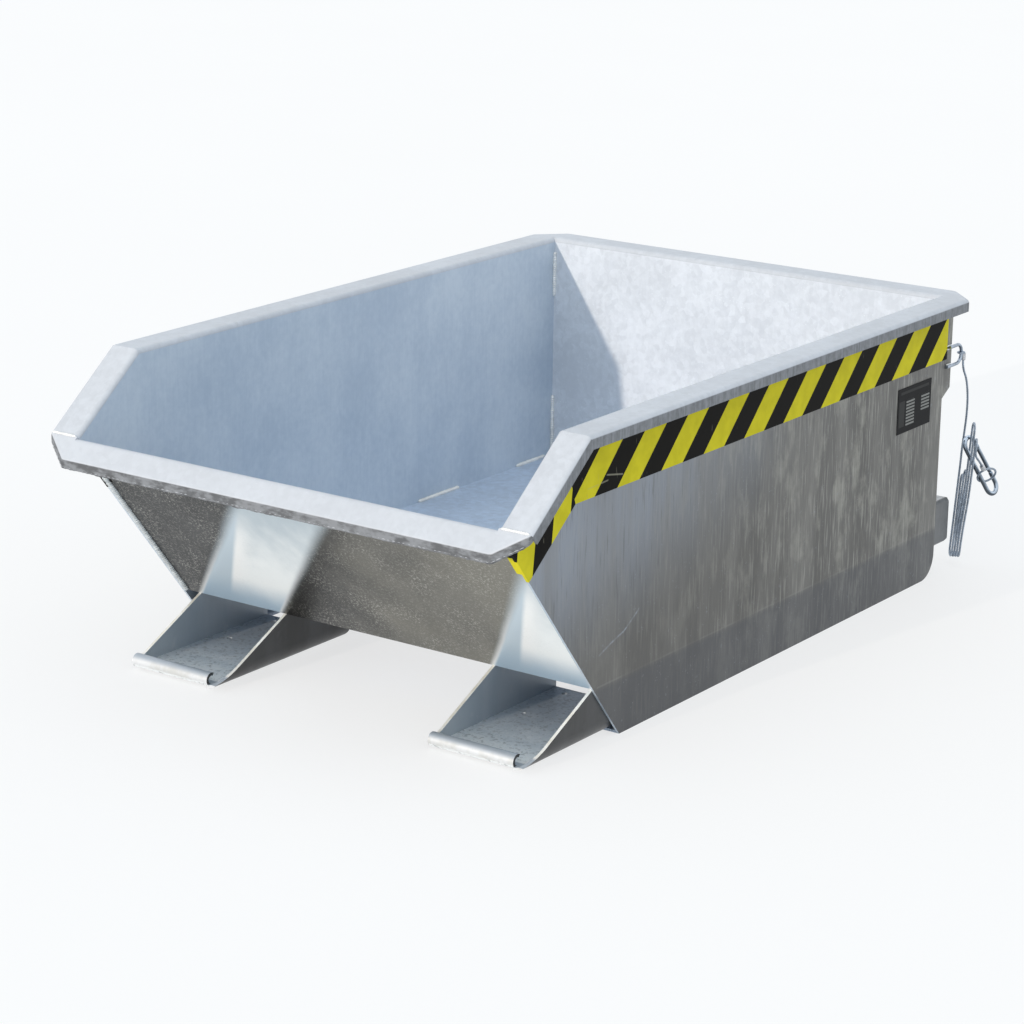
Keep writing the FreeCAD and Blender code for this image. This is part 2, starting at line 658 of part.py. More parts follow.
hook_path = [Part.LineSegment(V(bow_r, nose_end, 0), V(bow_r, 0, 0)).toShape(),
             Part.Arc(V(bow_r, 0, 0), V(0, bow_r, 0), V(-bow_r, 0, 0)).toShape(),
             Part.LineSegment(V(-bow_r, 0, 0), V(-bow_r, -bow_gap, 0)).toShape(),
             Part.Arc(V(-bow_r, -bow_gap, 0), V(0, -bow_gap - bow_r, 0), V(bow_r, -bow_gap, 0)).toShape(),
             Part.LineSegment(V(bow_r, -bow_gap, 0), V(bow_r, heel_end, 0)).toShape()]
heel_tongue = tongue(heel_end - tongue_sheet, -gate_rivet_at).fuse(
    Part.makeCylinder(tongue_half, tongue_sheet, rivet_place - V(0, 0, tongue_sheet / 2)))
nose_tongue = tongue(nose_end - tongue_length, nose_end + tongue_sheet)
hook_body = tube_along(hook_path, bar_half).fuse([heel_tongue, nose_tongue]).removeSplitter()
save_on_hook("snap_hook_body", hook_body.cut(rivet_bore(rivet_r)))

gate_top = nose_end - gate_gap
gate = Part.makeCylinder(gate_r, gate_top + gate_rivet_at, rivet_place, V(0, 1, 0))
gate = gate.fuse(Part.makeSphere(gate_r, rivet_place)).removeSplitter()
gate = gate.cut(slot(-gate_rivet_at - gate_r, -gate_rivet_at + tongue_half + 2 * slot_play))
gate = gate.cut(slot(nose_end - tongue_length - gate_gap, gate_top))
save_on_hook("snap_hook_gate", gate.cut(rivet_bore(rivet_r + gate_rivet_play)))
save_on_hook("gate_rivet", rivet_bore(rivet_r).common(Part.makeSphere(gate_r, rivet_place)))
rivet_world = hook_frame.multVec(rivet_place)
print("gate rivet at", [round(c, 3) for c in rivet_world - V(0, middle_y, 0)])
print("gate axis", [round(c, 5) for c in hook_face])

# Rope's lower eye round the hook's spine, its ferrule and the tail between them and the hank
spine_place = hook_frame.multVec(V(-bow_r, -end_eye_at, 0))
end_eye = spine_place + hook_right * end_eye_offset
eye_tilt = math.radians(end_eye_tilt)
end_eye_way = hook_down * -math.sin(eye_tilt) - deep * math.cos(eye_tilt)
end_eye_axis = hook_down * math.cos(eye_tilt) - deep * math.sin(eye_tilt)
save("rope_end_eye", Part.makeTorus(end_eye_radius, rope_r, end_eye, end_eye_axis))
end_ferrule = end_eye + end_eye_way * (end_eye_radius + rope_r)
save("rope_end_ferrule", Part.makeCylinder(ferrule_r, ferrule_length, end_ferrule, end_eye_way))
tail_end = end_ferrule + end_eye_way * ferrule_length
tail_start = hank_path[-1].valueAt(hank_path[-1].LastParameter)
tail_route = [tail_start, tail_start - hank_rise * tail_drop, tail_end + end_eye_way * tail_straight, tail_end]
tail_path = route_edges(tail_route)
save("rope_tail", tube_along(tail_path, rope_r))
rope_length = hank_length + sum(e.Length for e in lead_path + tail_path)
print("rope length", round(rope_length, 1))
for name, route in (("lead", lead_route), ("tail", tail_route)):
    print(name, "route", [[round(c, 1) for c in p - V(0, middle_y, 0)] for p in route])
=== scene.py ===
# %% [markdown]
# # A galvanised skip for fork trucks
# The skip is a welded trough of 4 mm sheet, dipped whole into molten zinc. Its sheets, rims and fork shoes
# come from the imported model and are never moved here. This lesson gives them their finish, and adds what
# the solids leave out: the lay of the wire rope, the weld beads and the thick zinc along the lip.

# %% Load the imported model
import math

import bmesh
import bpy
import numpy as np
from mathutils import Matrix, Vector, noise


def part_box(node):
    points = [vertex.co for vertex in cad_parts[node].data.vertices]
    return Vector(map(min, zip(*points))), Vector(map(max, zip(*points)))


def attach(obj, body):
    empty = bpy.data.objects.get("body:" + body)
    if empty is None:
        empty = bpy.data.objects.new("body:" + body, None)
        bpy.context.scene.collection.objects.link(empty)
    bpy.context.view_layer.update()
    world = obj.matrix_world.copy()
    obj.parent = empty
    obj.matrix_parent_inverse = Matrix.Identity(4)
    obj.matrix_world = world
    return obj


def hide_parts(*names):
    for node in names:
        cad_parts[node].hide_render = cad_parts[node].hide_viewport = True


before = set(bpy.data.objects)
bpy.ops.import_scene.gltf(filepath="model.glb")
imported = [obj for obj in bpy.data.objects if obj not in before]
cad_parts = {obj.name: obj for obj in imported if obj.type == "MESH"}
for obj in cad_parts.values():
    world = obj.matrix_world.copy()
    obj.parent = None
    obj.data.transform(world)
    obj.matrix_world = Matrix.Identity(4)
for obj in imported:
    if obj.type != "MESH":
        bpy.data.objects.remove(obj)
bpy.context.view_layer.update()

# %% [markdown]
# ## Camera
# The photograph was taken from the front right with a long lens, a little above the skip. A camera can be
# turned until it looks right, but here its place, angles and focal length were worked out from the skip's
# own edges, so every edge falls where the photograph has it. The small shift stands for the photograph's
# crop.

# %% Camera at the photograph's place
image_size = 1024
focal_pixels = 3057.7
optical_centre = (505.2, 520.8)
camera_place = Vector((2.7454, -3.9571, 1.6017))
camera_yaw, camera_pitch, camera_roll = (math.radians(a) for a in (35.4, -16.5, 0.7))

ahead = Vector((-math.sin(camera_yaw) * math.cos(camera_pitch),
                math.cos(camera_yaw) * math.cos(camera_pitch), math.sin(camera_pitch)))
level_right = ahead.cross(Vector((0, 0, 1))).normalized()
level_up = level_right.cross(ahead)
camera_right = level_right * math.cos(camera_roll) + level_up * math.sin(camera_roll)
camera_up = level_up * math.cos(camera_roll) - level_right * math.sin(camera_roll)

lens = bpy.data.cameras.new("photo_camera")
lens.sensor_width = 36
lens.lens = focal_pixels * lens.sensor_width / image_size
lens.shift_x = 0.5 - optical_centre[0] / image_size
lens.shift_y = optical_centre[1] / image_size - 0.5
camera = bpy.data.objects.new("photo_camera", lens)
camera.matrix_world = Matrix.Translation(camera_place) @ Matrix(
    (camera_right, camera_up, -ahead)).transposed().to_4x4()
bpy.context.collection.objects.link(camera)
bpy.context.scene.camera = camera
print("lens", round(lens.lens, 1), "mm")

# %% [markdown]
# ## Helpers for new pieces
# Every new piece is a mesh that rides on the skip's body. One function links it and sets its body, so that
# no piece is forgotten. Strands, ferrules and weld beads are all rows of rings, so a second function joins
# such rings with faces.


# %% Adding a piece
def add_piece(name, data):
    """Link a mesh as a piece that moves with the skip."""
    piece = bpy.data.objects.new(name, data)
    bpy.context.collection.objects.link(piece)
    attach(piece, "root")
    return piece


def mesh_from(name, points, faces):
    """A smooth mesh of points and faces, with its normals made to face outward."""
    data = bpy.data.meshes.new(name)
    data.from_pydata(points, [], faces)
    shape = bmesh.new()
    shape.from_mesh(data)
    bmesh.ops.recalc_face_normals(shape, faces=shape.faces)
    shape.to_mesh(data)
    shape.free()
    data.polygons.foreach_set("use_smooth", [True] * len(data.polygons))
    return data


def ring_faces(first, rings, sides, closed=False):
    """Faces between rings of points, with a cap on each end unless the last ring joins the first."""
    faces = []
    for i in range(rings if closed else rings - 1):
        here = first + i * sides
        there = first + (i + 1) % rings * sides
        for k in range(sides):
            n = (k + 1) % sides
            faces.append((here + k, here + n, there + n, there + k))
    if not closed:
        last = first + (rings - 1) * sides
        faces.append(tuple(range(first, first + sides)))
        faces.append(tuple(range(last, last + sides)))
    return faces


# %% [markdown]
# ## Wire rope
# The securing rope is 4 mm steel wire rope, about 1.85 m long. It hangs from the bar eye, is folded into a
# hank of four turns and ends in an eye round the snap hook. A bevelled curve would give a plain tube, so
# the route is one NURBS spline, and six strands are wound round the points that Blender reads from it.

# %% Sizes of the rope and its hank
rope_diameter = 0.004
hank_place = Vector((0.402, 0.726856, 0.0))
hank_turned = math.radians(35.4)
hank_lean = math.radians(3.8)
hank_foot = -0.0092
hank_pitch = 0.0045
hank_fold = 0.0125
hank_turns = 4
hank_low = 0.0285
hank_tops = (0.150, 0.158, 0.2445)
hank_end = 0.222
tail_turn = math.radians(95)
lead_route = ((0.4030, 0.7004, 0.3755), (0.4030, 0.7004, 0.3620), (0.4055, 0.7134, 0.3390),
              (0.4024, 0.7272, 0.3060), (0.3966, 0.7390, 0.2720), (0.3911, 0.7449, 0.2380),
              (0.3892, 0.7423, 0.2050), (0.3917, 0.7348, 0.1830), (0.3907, 0.7342, 0.1651))
tail_route = ((0.4355, 0.7048, 0.2209), (0.4348, 0.7043, 0.2069), (0.4364, 0.7212, 0.1928),
              (0.4358, 0.7299, 0.1846))

upright = Vector((0, 0, 1))
across = Vector((math.cos(hank_turned), math.sin(hank_turned), 0))
deep = Vector((-math.sin(hank_turned), math.cos(hank_turned), 0))
hank_rise = across * math.sin(hank_lean) + upright * math.cos(hank_lean)
hank_row = across * math.cos(hank_lean) - upright * math.sin(hank_lean)
print("hank of", hank_turns, "turns,", round(max(hank_tops) - hank_low, 3), "m long")


# %% The hank's turns
def in_hank(strand, depth, up):
    """A place in the leaning hank: number of the strand, depth and distance up the strand."""
    along = (strand - (hank_turns - 1) / 2) * hank_pitch
    return hank_place + across * hank_foot + deep * depth + hank_row * along + hank_rise * up


# The spline cuts inside its control points, so those of a fold stand further out than the fold itself
fold_step = 30
fold_ease = 1.06
fold_angles = [math.radians(a) for a in range(fold_step // 2, 180, fold_step)]
fold_reach = fold_ease * hank_fold / math.cos(math.radians(fold_step / 2)) ** 1.5
shares_down = (0.75, 0.5, 0.25)
# On its way up the front a strand steps over to the next one
shares_up = ((0.2, 0.1), (0.4, 0.35), (0.6, 0.65), (0.8, 0.9))


def hank_route():
    """Control points of the hank: down the rear, round the lower fold, up the front and over the top."""
    route = []
    step_top = min(hank_tops)
    for strand in range(hank_turns):
        above = hank_tops[strand - 1] if strand else hank_tops[0]
        for share in shares_down:
            route.append(in_hank(strand, hank_fold, hank_low + (above - hank_low) * share))
        for a in fold_angles:
            route.append(in_hank(strand, fold_reach * math.cos(a), hank_low - fold_reach * math.sin(a)))
        for share, step in shares_up:
            route.append(in_hank(strand + step, -hank_fold, hank_low + (step_top - hank_low) * share))
        if strand < len(hank_tops):
            top = hank_tops[strand]
            if top - step_top > hank_fold:
                route.append(in_hank(strand + 1, -hank_fold, (step_top + top) / 2))
            for a in fold_angles:
                route.append(in_hank(strand + 1, -fold_reach * math.cos(a), top + fold_reach * math.sin(a)))
    last = in_hank(hank_turns, -hank_fold, hank_end)
    over = hank_row * math.cos(tail_turn) - deep * math.sin(tail_turn)
    route.append(last - hank_rise * (hank_end - step_top) / 2)
    for a in fold_angles:
        sideways = over * (hank_fold - fold_reach * math.cos(a))
        route.append(last + sideways + hank_rise * fold_reach * math.sin(a))
    return route


route = [Vector(p) for p in lead_route] + hank_route() + [Vector(p) for p in tail_route]
print(len(route), "control points")

# %% One spline for the whole rope
curve = bpy.data.curves.new("rope_route", "CURVE")
curve.dimensions = "3D"
curve.resolution_u = 12
spline = curve.splines.new("NURBS")
spline.points.add(len(route) - 1)
for point, place in zip(spline.points, route):
    point.co = (*place, 1)
spline.order_u = 3
spline.use_endpoint_u = True
guide = bpy.data.objects.new("rope_route", curve)
guide_mesh = bpy.data.meshes.new_from_object(guide)
rope_line = [v.co.copy() for v in guide_mesh.vertices]
bpy.data.objects.remove(guide)
bpy.data.meshes.remove(guide_mesh)

# %% [markdown]
# ## Strands
# Six strands lie round the rope's middle in a helix with a lay of about six and a half diameters. The line
# is first stepped evenly, then a frame is carried along it without twist, so that only the lay turns the
# strands.

# %% Even steps and frames along a line
fewest_steps = 8


def even_steps(line, step, closed=False):
    """Points at even steps along a line of points."""
    line = [Vector(p) for p in line]
    if closed:
        line.append(line[0])
    lengths = [0.0]
    for a, b in zip(line, line[1:]):
        lengths.append(lengths[-1] + (b - a).length)
    count = max(int(lengths[-1] / step), fewest_steps)
    places = np.linspace(0, lengths[-1], count + 1)
    columns = [np.interp(places, lengths, [p[axis] for p in line]) for axis in range(3)]
    points = [Vector(p) for p in zip(*columns)]
    return points[:-1] if closed else points


def carried_frames(points, closed=False):
    """A heading and two square directions at each point, carried along without twist."""
    count = len(points)
    headings = []
    for i in range(count):
        before = points[i - 1] if closed or i else points[0]
        after = points[(i + 1) % count] if closed or i < count - 1 else points[-1]
        headings.append((after - before).normalized())
    side = headings[0].orthogonal().normalized()
    frames = []
    for previous, heading in zip(headings[:1] + headings, headings):
        side = previous.rotation_difference(heading) @ side
        side = (side - heading * side.dot(heading)).normalized()
        frames.append((heading, side, heading.cross(side)))
    return frames


# %% Winding strands along a line
strand_count = 6
strand_sides = 6
# Strands of a sixth of the rope would only touch, so they are a little thicker and press into each other
strand_press = 1.06
strand_radius = rope_diameter / 6 * strand_press
rope_lay = 6.5 * rope_diameter
steps_per_lay = 14


def wound_strands(name, line, closed=False):
    """Mesh of strands wound round a line."""
    points = even_steps(line, rope_lay / steps_per_lay, closed)
    frames = carried_frames(points, closed)
    count = len(points)
    length = sum((b - a).length for a, b in zip(points, points[1:]))
    turns = round(length / rope_lay) if closed else length / rope_lay
    ring = rope_diameter / 2 - strand_radius
    vertices = []
    faces = []
    for strand in range(strand_count):
        first = len(vertices)
        for i, (point, (heading, side, up)) in enumerate(zip(points, frames)):
            turn = math.tau * (strand / strand_count + turns * i / (count if closed else count - 1))
            out = side * math.cos(turn) + up * math.sin(turn)
            tangent = heading.cross(out)
            for k in range(strand_sides):
                a = math.tau * k / strand_sides
                vertices.append(point + out * (ring + strand_radius * math.cos(a))
                                + tangent * strand_radius * math.sin(a))
        faces += ring_faces(first, count, strand_sides, closed)
    return mesh_from(name, vertices, faces)


rope = add_piece("securing_rope", wound_strands("securing_rope", rope_line))
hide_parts("rope_lead", "rope_hank", "rope_tail")
print("rope:", len(rope.data.polygons), "faces")


# %% [markdown]
# ## Rope eyes and ferrules
# At each end the rope is turned back into an eye and held by a pressed ferrule. Where the eyes and ferrules
# lie is read from their solids: the middle of a solid's points, and the directions in which they spread
# least or most. The eyes are strands wound round a ring, and a ferrule is a turned outline with pressed
# bands.

# %% Eyes
def spread_of(node):
    """Middle of a node's points, their directions from most to least spread, and the points."""
    points = np.array([v.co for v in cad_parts[node].data.vertices])
    middle = (points.min(axis=0) + points.max(axis=0)) / 2
    ways = np.linalg.svd(points - points.mean(axis=0), full_matrices=False)[2]
    return Vector(middle), [Vector(w) for w in ways], points


def ring_line(node, steps=48):
    """A ring of points along the middle of a ring-shaped node."""
    middle, ways, points = spread_of(node)
    far = max((Vector(p) - middle).length for p in points)
    radius = far - rope_diameter / 2
    angles = [math.tau * i / steps for i in range(steps)]
    return [middle + (ways[0] * math.cos(a) + ways[1] * math.sin(a)) * radius for a in angles]


eyes = []
for node, name in (("rope_top_eye", "upper_eye"), ("rope_end_eye", "lower_eye")):
    eye = add_piece(name, wound_strands(name, ring_line(node), closed=True))
    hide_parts(node)
    eyes.append(eye)
print("eyes:", [e.name for e in eyes])


# %% Ferrules
def turned_mesh(name, middle, axis, outline, sides=24):
    """An outline of (distance along the axis, radius) turned round the axis, closed at its ends."""
    side = axis.orthogonal().normalized()
    up = axis.cross(side)
    vertices = []
    for along, radius in outline:
        for k in range(sides):
            a = math.tau * k / sides
            vertices.append(middle + axis * along + (side * math.cos(a) + up * math.sin(a)) * radius)
    return mesh_from(name, vertices, ring_faces(0, len(outline), sides))


def pressed_outline(length, radius, bands=3, press=0.0003, corner=0.0012, steps=36):
    """Outline of a ferrule with rounded ends and a few shallow pressed bands."""
    half = length / 2
    outline = []
    for i in range(steps + 1):
        along = -half + length * i / steps
        inset = max(corner - (half - abs(along)), 0)
        rounding = corner - math.sqrt(max(corner ** 2 - inset ** 2, 0))
        wave = (0.5 - 0.5 * math.cos(math.tau * bands * i / steps)) * press
        outline.append((along, radius - rounding - press + wave))
    return outline


ferrules = []
for node, name in (("rope_top_ferrule", "upper_ferrule"), ("rope_end_ferrule", "lower_ferrule")):
    middle, ways, points = spread_of(node)
    axis = ways[0]
    offsets = [Vector(p) - middle for p in points]
    half_length = max(abs(o.dot(axis)) for o in offsets)
    radius = max((o - axis * o.dot(axis)).length for o in offsets)
    outline = pressed_outline(2 * half_length, radius)
    ferrule = add_piece(name, turned_mesh(name, middle, axis, outline))
    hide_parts(node)
    ferrules.append(ferrule)
print("ferrules:", [f.name for f in ferrules])


# %% [markdown]
# ## Weld beads
# The sheets are joined by short rippled beads in the trough's corners, by long ones where the front wall
# meets the side plates, and by a ridge where each sloping rim meets the lip. A bead could be a displaced
# tube, but here its rings are written directly: each ring's size follows the ripple, with a little noise
# for the hand.

# %% Rippled beads
rings_per_ripple = 6
ripple_depth = 0.12
end_size = 0.3
lumps_per_metre = 150.0
drops_per_metre = 60.0
drops_above = 0.1


def bead_mesh(name, runs, radius, ripple=0.0042, sides=8, swell=0.3, sag=0.0):
    """Rippled beads along runs of points, in one mesh. Sag lets drops hang from the lower side."""
    vertices = []
    faces = []
    for run in runs:
        points = even_steps(run, ripple / rings_per_ripple)
        first = len(vertices)
        count = len(points)
        for i, (point, (_, side, up)) in enumerate(zip(points, carried_frames(points))):
            wave = ripple_depth * math.sin(math.tau * i / rings_per_ripple)
            lump = 1 + wave + swell * noise.noise(point * lumps_per_metre)
            taper = min(1.0, end_size + min(i, count - 1 - i) / rings_per_ripple)
            size = radius * lump * taper
            drop = sag * max(noise.noise(point * drops_per_metre) - drops_above, 0)
            for k in range(sides):
                a = math.tau * k / sides
                way = side * math.cos(a) + up * math.sin(a)
                vertices.append(point + way * size - Vector((0, 0, drop * max(-way.z, 0))))
        faces += ring_faces(first, count, sides)
    return mesh_from(name, vertices, faces)


# %% Where the sheets meet
inner_side = 0.396
floor_top = 0.092
rear_inner = 0.609856
rear_outer = 0.613856
# Places of the front wall's foot and top, of the seam on the lip and of the lip's foot, as y and z
front_foot = (-0.42355, 0.088)
front_top = (-0.6563, 0.3754)
lip_seam = (-0.66569, 0.3934)
lip_foot = (-0.69487, 0.34919)
# A bead's middle lies a little inside its corner, so that no lump comes through the 4 mm sheet
corner_inset = 0.0015
front_insets = {-1: 0.0035, 1: 0.0}
tube_inset = 0.0008
floor_spans = ((0.195856, 0.315856), (0.494856, 0.585856))
wall_spans = ((0.096, 0.206), (0.395, 0.478))
seam_span = (0.399, 0.4475)

corner_runs = []
front_runs = {}
seam_runs = []
corner_y = rear_inner - corner_inset
corner_z = floor_top + corner_inset
for side in (-1, 1):
    corner_x = side * (inner_side - corner_inset)
    for span in floor_spans:
        corner_runs.append([(corner_x, y, corner_z) for y in span])
    for span in wall_spans:
        corner_runs.append([(corner_x, corner_y, z) for z in span])
    front_x = side * (inner_side - front_insets[side])
    front_runs[side] = [((front_x, *front_foot), (front_x, *front_top))]
    seam_runs.append([(side * x, *lip_seam) for x in seam_span])
print(len(corner_runs), "runs in the corners,", len(seam_runs), "on the lip")

# %% Beads on the cross tube and the bar eye, and all beads made
tube_y = rear_outer + tube_inset
tube_half_run = 0.05
tube_runs = [((x - tube_half_run, tube_y, z), (x + tube_half_run, tube_y, z))
             for x in (-0.33, -0.11, 0.11, 0.33) for z in (0.05, 0.13)]
bar_x = 0.4008
bar_span = (0.642, 0.659)
bar_offset = 0.003
eye_runs = [[(bar_x, y, z + offset) for y in bar_span]
            for z in (0.374, 0.407) for offset in (-bar_offset, bar_offset)]
weld_sizes = (("corner_welds", corner_runs, 0.0036), ("front_weld_left", front_runs[-1], 0.0048),
              ("front_weld_right", front_runs[1], 0.0024), ("lip_seam_welds", seam_runs, 0.0021),
              ("tube_welds", tube_runs, 0.003), ("bar_eye_welds", eye_runs, 0.0014))
welds = [add_piece(name, bead_mesh(name, runs, radius)) for name, runs, radius in weld_sizes]
print("welds:", [(w.name, len(w.data.polygons)) for w in welds])

# %% [markdown]
# ## Thick zinc along the lip
# When the skip is lifted from the bath the front lip is its lowest edge, so zinc runs down there and
# freezes in lumps and drops. The same bead function does it, with broad lumps and some sag.

# %% Lumpy lip edge
edge_inset = 0.0018
edge_rise = 0.0012
lip_corner = (0.402, *lip_foot)
lip_end = (0.4470, -0.66861, 0.37638)
lip_edge_run = [(side * x, y + edge_inset, z + edge_rise) for side, (x, y, z) in (
    (-1, lip_end), (-1, lip_corner), (1, lip_corner), (1, lip_end))]
lip_edge_mesh = bead_mesh("lip_edge_zinc", [lip_edge_run], 0.0019, ripple=0.009, sides=10, swell=0.22,
                          sag=0.002)
lip_edge = add_piece("lip_edge_zinc", lip_edge_mesh)
print("lip edge:", len(lip_edge.data.polygons), "faces")

# %% [markdown]
# ## Rounded sheet edges
# Zinc rounds every cut edge a little, and a rounded edge catches a thin line of light. A Bevel modifier
# does this on the sheets without touching their meshes.

# %% Rounded edges
rims = ("side_rim_right_level", "side_rim_left_level", "side_rim_right_slope", "side_rim_left_slope",
        "rear_rim")
side_plates = ("side_plate_right", "side_plate_left")
tube_caps = ("tube_cap_right", "tube_cap_left")
shoes = ("shoe_pan_right", "shoe_pan_left", "shoe_cheek_right", "shoe_cheek_left")
rounded_nodes = ("floor_sheet", "front_wall", "rear_wall", *side_plates, *rims, "front_lip", *tube_caps,
                 *shoes, "rating_plate")
edge_radius = 0.0007
sharp_edge = math.radians(40)
for name in rounded_nodes:
    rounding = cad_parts[name].modifiers.new("rounded_edges", "BEVEL")
    rounding.width = edge_radius
    rounding.segments = 2
    rounding.limit_method = "ANGLE"
    rounding.angle_limit = sharp_edge
print("rounded edges on", len(rounded_nodes), "sheets")


# %% [markdown]
# ## Shader maths
# A procedural finish is a sum of small patterns. Written as nodes it needs many lines, so one class wraps a
# socket and lets sums on it be typed as ordinary Python. Each sum adds a Math node to the same material.
# Any other node comes from the class's one method, which sets a node's own settings before its sockets.

# %% Sockets that can be added and multiplied
class Wire:
    """An output socket in a material."""

    def __init__(self, tree, socket=None):
        self.tree = tree
        self.socket = socket

    def node(self, kind, settings=(), sockets=(), out=0):
        """Add a node and give one of its outputs."""
        made = self.tree.nodes.new(kind)
        for key, value in dict(settings).items():
            setattr(made, key, value)
        for key, value in dict(sockets).items():
            if isinstance(value, Wire):
                self.tree.links.new(value.socket, made.inputs[key])
            else:
                made.inputs[key].default_value = value
        return Wire(self.tree, made.outputs[out])

    def math(self, operation, *values):
        """Add a Math node."""
        return self.node("ShaderNodeMath", {"operation": operation}, enumerate(values))

    def __add__(self, other):
        return self.math("ADD", self, other)

    def __sub__(self, other):
        return self.math("SUBTRACT", self, other)

    def __rsub__(self, other):
        return self.math("SUBTRACT", other, self)

    def __mul__(self, other):
        return self.math("MULTIPLY", self, other)

    def __truediv__(self, other):
        return self.math("DIVIDE", self, other)

    def __rtruediv__(self, other):
        return self.math("DIVIDE", other, self)

    def __gt__(self, other):
        return self.math("GREATER_THAN", self, other)

    def __lt__(self, other):
        return self.math("LESS_THAN", self, other)

    def __abs__(self):
        return self.math("ABSOLUTE", self)

    __radd__ = __add__
    __rmul__ = __mul__

    def ramp(self, low, high):
        """0 below low, 1 above high and smooth between."""
        return self.node("ShaderNodeMapRange", {"interpolation_type": "SMOOTHSTEP"},
                         {0: self, 1: low, 2: high})

    def mix(self, first, second):
        """Colours mixed by this value."""
        pair = [c if isinstance(c, Wire) else (*c, 1) for c in (first, second)]
        return self.node("ShaderNodeMix", {"data_type": "RGBA"}, {0: self, 6: pair[0], 7: pair[1]}, out=2)

    def scaled(self, x, y, z):
        """A vector stretched along its axes."""
        return self.node("ShaderNodeVectorMath", {"operation": "MULTIPLY"}, {0: self, 1: (x, y, z)})

    def noise(self, scale, detail=4.0, roughness=0.55):
        """Cloudy noise, from about 0.25 to 0.75."""
        return self.node("ShaderNodeTexNoise", (), {"Vector": self, "Scale": scale, "Detail": detail,
                                                    "Roughness": roughness})

    def cells(self, scale, out="Color"):
        """Flat cells of chance tones, or the distance to each cell's seed."""
        return self.node("ShaderNodeTexVoronoi", (), {"Vector": self, "Scale": scale}, out=out)

    def part(self, axis):
        """One component of a vector."""
        return self.node("ShaderNodeSeparateXYZ", (), {0: self}, out=axis)


# %% Starting a finish and giving it to pieces
def new_finish(name, **uniform):
    """A material with its shader's plain values set, and a wire of the model's own coordinates."""
    material = bpy.data.materials.new(name)
    material.use_nodes = True
    tree = material.node_tree
    shader = tree.nodes["Principled BSDF"]
    for key, value in uniform.items():
        shader.inputs[key.replace("_", " ")].default_value = value
    place = Wire(tree).node("ShaderNodeTexCoord", out="Object")
    return material, shader, place


def feed(shader, **wires):
    """Link wires to the shader's sockets."""
    for key, wire in wires.items():
        wire.tree.links.new(wire.socket, shader.inputs[key.replace("_", " ")])


def bump(height, strength, distance):
    """Normals of a height, in metres of depth."""
    return height.node("ShaderNodeBump", (), {"Height": height, "Strength": strength, "Distance": distance})


def wear(finish, *nodes):
    """Give CAD nodes or pieces a finish."""
    for node in nodes:
        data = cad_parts[node].data if isinstance(node, str) else node.data
        data.materials.clear()
        data.materials.append(finish)


# %% [markdown]
# ## Zinc
# Hot-dip zinc freezes in grains, so its grey is broken into soft cells a centimetre across, with cloudy
# tones over them. Acid and rain leave upright runs on standing sheets, and dust leaves pale flecks. These
# patterns are the same on every sheet, so each is a small function, and each finish mixes those that it
# shows.

# %% Patterns of dipped zinc
def zinc_grains(place):
    """Flat grains of chance tones."""
    return place.cells(95.0).part(0)


def zinc_clouds(place):
    """Broad cloudy tones."""
    return place.noise(6.0, 6.0)


def zinc_grit(place):
    """Fine grit."""
    return place.noise(90.0, 3.0)


def zinc_runs(place):
    """Narrow upright runs."""
    return place.scaled(210.0, 210.0, 15.0).noise(1.0, 4.0)


def zinc_bands(place):
    """Broad upright bands."""
    return place.scaled(16.0, 16.0, 1.6).noise(1.0, 4.0)


def zinc_flecks(place):
    """Pale flecks of dust, in clusters."""
    return place.cells(150.0, "Distance").ramp(0.22, 0.08) * place.noise(30.0).ramp(0.5, 0.6)


def facing_of(place):
    """The way a surface faces, in the model's own directions."""
    return place.node("ShaderNodeTexCoord", out="Normal")


def shaded(tone, factor):
    """A tone made darker or paler."""
    return tuple(min(c * factor, 0.95) for c in tone)


zinc_relief = 0.0012


# %% Pale zinc
def pale_zinc(name, tone, roughness, metal=0.35, streaks=0.2, spread=0.14, fleck=0.3, rear=1.0, steep=1.0,
              ticks=0.6):
    """Clean zinc. The rear face and the steep outer ones may take a share of the tone."""
    material, shader, place = new_finish(name, Metallic=metal)
    grains, clouds, grit = zinc_grains(place), zinc_clouds(place), zinc_grit(place)
    runs, bands = zinc_runs(place), zinc_bands(place)
    shade = (0.5 + 1.1 * (clouds - 0.5) + 0.6 * (grit - 0.5) + 0.25 * (grains - 0.5)
             + streaks * (runs - 0.5) + streaks * (bands - 0.5))
    colour = shade.ramp(0.1, 0.9).mix(shaded(tone, 1 - spread), shaded(tone, 1 + spread))
    colour = (zinc_flecks(place) * fleck).mix(colour, shaded(tone, 1.22))
    if rear < 1:
        stained = (bands + 0.4 * grit).ramp(0.5, 0.9).mix(shaded(tone, 0.85 * rear), shaded(tone, rear))
        colour = facing_of(place).part(1).ramp(0.3, 0.7).mix(colour, stained)
    if steep < 1:
        mottles = place.scaled(0.4, 1.0, 1.0).noise(110.0, 4.0, 0.6)
        uneven = ticks * runs + (1 - ticks) * mottles
        darkest = shaded(tone, (0.55 + 0.4 * ticks) * steep)
        dull = uneven.ramp(0.36, 0.64).mix(darkest, shaded(tone, 1.25 * steep))
        way = facing_of(place)
        outward = way.part(0) * place.part(0) + way.part(1) * place.part(1)
        skirt = way.part(2).ramp(0.45, 0.25) * outward.ramp(-0.05, 0.05)
        colour = skirt.mix(colour, dull)
    feed(shader, Base_Color=colour, Roughness=roughness + 0.16 * (clouds - 0.5) + 0.1 * (grains - 0.5),
         Normal=bump(clouds + 0.3 * grit + 0.2 * grains, 0.2, zinc_relief))
    return material


